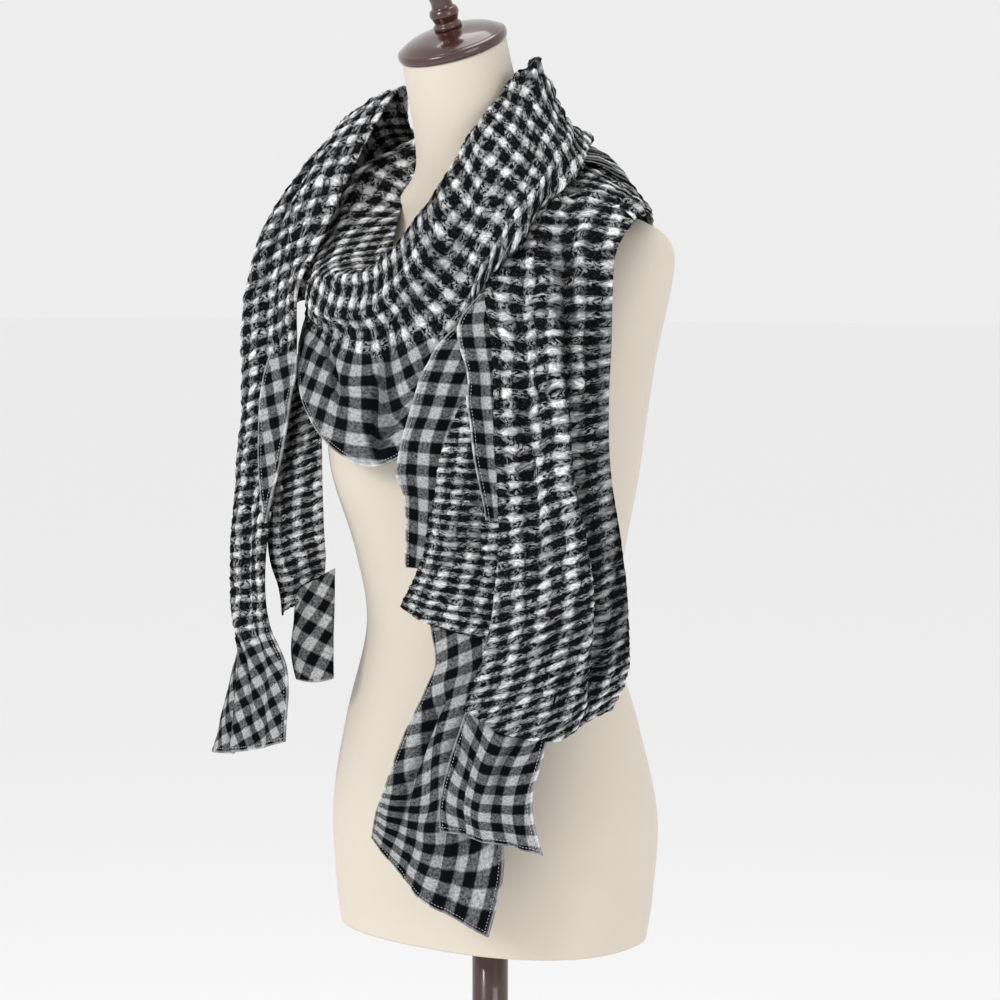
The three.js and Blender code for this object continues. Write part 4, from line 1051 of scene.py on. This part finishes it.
# ---- left neck band ----
# Flat border of the first end, folded narrow, that comes out from under the roll and runs down
# beside the outer fall. Both its edges are hemmed.
left_neck_sections = [
    section((86, -118, 1324), (104, -112, 1324), 1),
    section((72, -121, 1305), (107, -116, 1305), 3),
    section((71, -123, 1286), (109, -118, 1286), 3),
    section((80, -126, 1259), (115, -124, 1259), 2),
    section((86, -130, 1233), (119, -128, 1233), 2),
    section((96, -134, 1193), (126, -132, 1193), 2),
    section((106, -137, 1140), (130, -135, 1140), 1),
]
stretch("left_neck_band_cloth", "left_neck_band", left_neck_sections, LEFT, (20, 3), (105, 24),
        held="hung", rests_on=["left_inner_cloth"], at=(0.5, 0.4), seed=80, puckered=all_flat,
        turn=((0, 8), (0.3, 0)), hems=("inner", "outer"),
        creases=[crease((0.1, 0.45), (0.95, 0.4), -2.2, 3.5),
                 crease((0.35, 0.75), (0.98, 0.65), 1.6, 3.5)])


# ---- left edge band ----
# The outermost strip of the flat border, hemmed, along the first end's inner edge. It comes
# out from under the pouch.
left_edge_sections = [
    section((66, -117, 1296), (88, -114, 1296), 2),
    section((50, -119, 1278), (84, -117, 1274), 2),
    section((38, -123, 1252), (82, -121, 1250), 3),
    section((31, -126, 1230), (78, -123, 1230), 3),
    section((21, -130, 1194), (68, -127, 1194), 3),
    section((14, -129, 1152), (58, -128, 1152), 3),
    section((12, -130, 1095), (48, -129, 1095), 2),
]
stretch("left_edge_band_cloth", "left_edge_band", left_edge_sections, LEFT, (20, 3), (120, 27),
        held="hung", rests_on=["cowl_cloth"], at=(0.5, 0.4), seed=90, puckered=all_flat,
        hems=("inner", "outer"),
        creases=[crease((0.05, 0.3), (0.95, 0.33), -1.8, 2.6, fade=0.9),
                 crease((0.15, 0.55), (0.75, 0.6), 1.8, 4)])


# ---- left inner fall ----
# Puckered layer that hangs between the border strips and the outer fall, and ends on the slant
# over the longest layer.
left_inner_sections = [
    section((92, -122, 1266), (112, -120, 1266), 2),
    section((79, -127, 1232), (118, -124, 1232), 5),
    section((62, -131, 1190), (124, -127, 1190), 8),
    section((48, -134, 1146), (126, -129, 1146), 10),
    section((34, -137, 1100), (126, -130, 1100), 11),
    section((14, -140, 1063), (112, -134, 1042), 9, -30),
]
stretch("left_inner_cloth", "left_inner_fall", left_inner_sections, LEFT, (18, 7), (144, 57),
        held="hung", rests_on=["left_edge_band_cloth"], at=(0.6, 0.5), seed=100, across=0.96, along=0.4,
        slant=((0, 0), (0.7, 0), (1, -8)),
        creases=[crease((0.2, 0.72), (0.95, 0.8), -4, 6, bend=3, take=5),
                 crease((0.35, 0.35), (0.9, 0.42), -2, 6)])


# ---- left outer border ----
# Flat border below the outer fall, gathered where the puckers end and hemmed on its other
# three sides.
left_outer_border_sections = [
    section((98, -147, 1000), (170, -126, 1000), 3),
    section((91, -151, 976), (162, -129, 968), 5),
    section((82, -154, 950), (158, -133, 944), 9),
    section((75, -156, 924), (153, -138, 920), 11),
    section((71, -157, 902), (156, -141, 898), 11),
    section((73, -157, 882), (166, -142, 871), 10, 20),
]
stretch("left_outer_border_cloth", "left_outer_border", left_outer_border_sections, LEFT, (10, 8), (84, 54),
        held="hung", rests_on=["left_outer_cloth"], at=(1.0, 0.5), seed=110, puckered=all_flat,
        gathers=("top",), sag=((0, 42), (0.6, 24), (1, 5)), hems=("inner", "outer", "bottom"),
        creases=[crease((0.0, 0.72), (0.85, 0.66), -5, 6, bend=3, take=6),
                 crease((0.0, 0.45), (0.7, 0.42), 3, 7),
                 crease((0.3, 0.3), (1.0, 0.33), 2.4, 3, fade=0.95),
                 crease((0.05, 0.2), (0.6, 0.12), -2, 6, take=3),
                 crease((0.35, 0.9), (1.0, 0.86), 2.5, 6, fade=0.95)])


# ---- left under fall ----
# The longest layer of the first end, flat down to its pointed tip. It hangs behind the outer
# fall's border, with its checks on the slant and three edges hemmed.
left_under_sections = [
    section((44, -137, 1052), (104, -135, 1050), 2),
    section((52, -139, 1020), (104, -137, 1020), 3),
    section((44, -141, 998), (100, -139, 995), 4),
    section((21, -144, 955), (104, -140, 950), 5),
    section((4, -146, 914), (121, -142, 905), 6),
    section((-8, -147, 884), (126, -143, 852), 8, -20),
    section((-11, -148, 864), (111, -144, 796), 11, -50),
]
stretch("left_under_cloth", "left_under_fall", left_under_sections, LEFT, (18, 8), (150, 63),
        held="hung", rests_on=["left_outer_border_cloth"], at=(0.25, 0.5), seed=120, puckered=all_flat,
        loose=(1.1, 0.86), slant=((0, 30), (0.7, 34), (1, -31)), hems=("inner", "outer", "bottom"),
        creases=[crease((0.30, 0.46), (0.95, 0.24), -5.5, 7, bend=5, take=7),
                 crease((0.15, 0.78), (0.98, 0.64), -4, 7, bend=-5, take=5),
                 crease((0.5, 0.2), (0.98, 0.1), 2.4, 6),
                 crease((0.72, 0.45), (1.0, 0.38), 3, 7, fade=0.9),
                 crease((0.75, 0.72), (1.0, 0.7), -2.5, 5, fade=0.95, take=3),
                 crease((0.05, 0.6), (0.4, 0.5), -2.5, 5)])
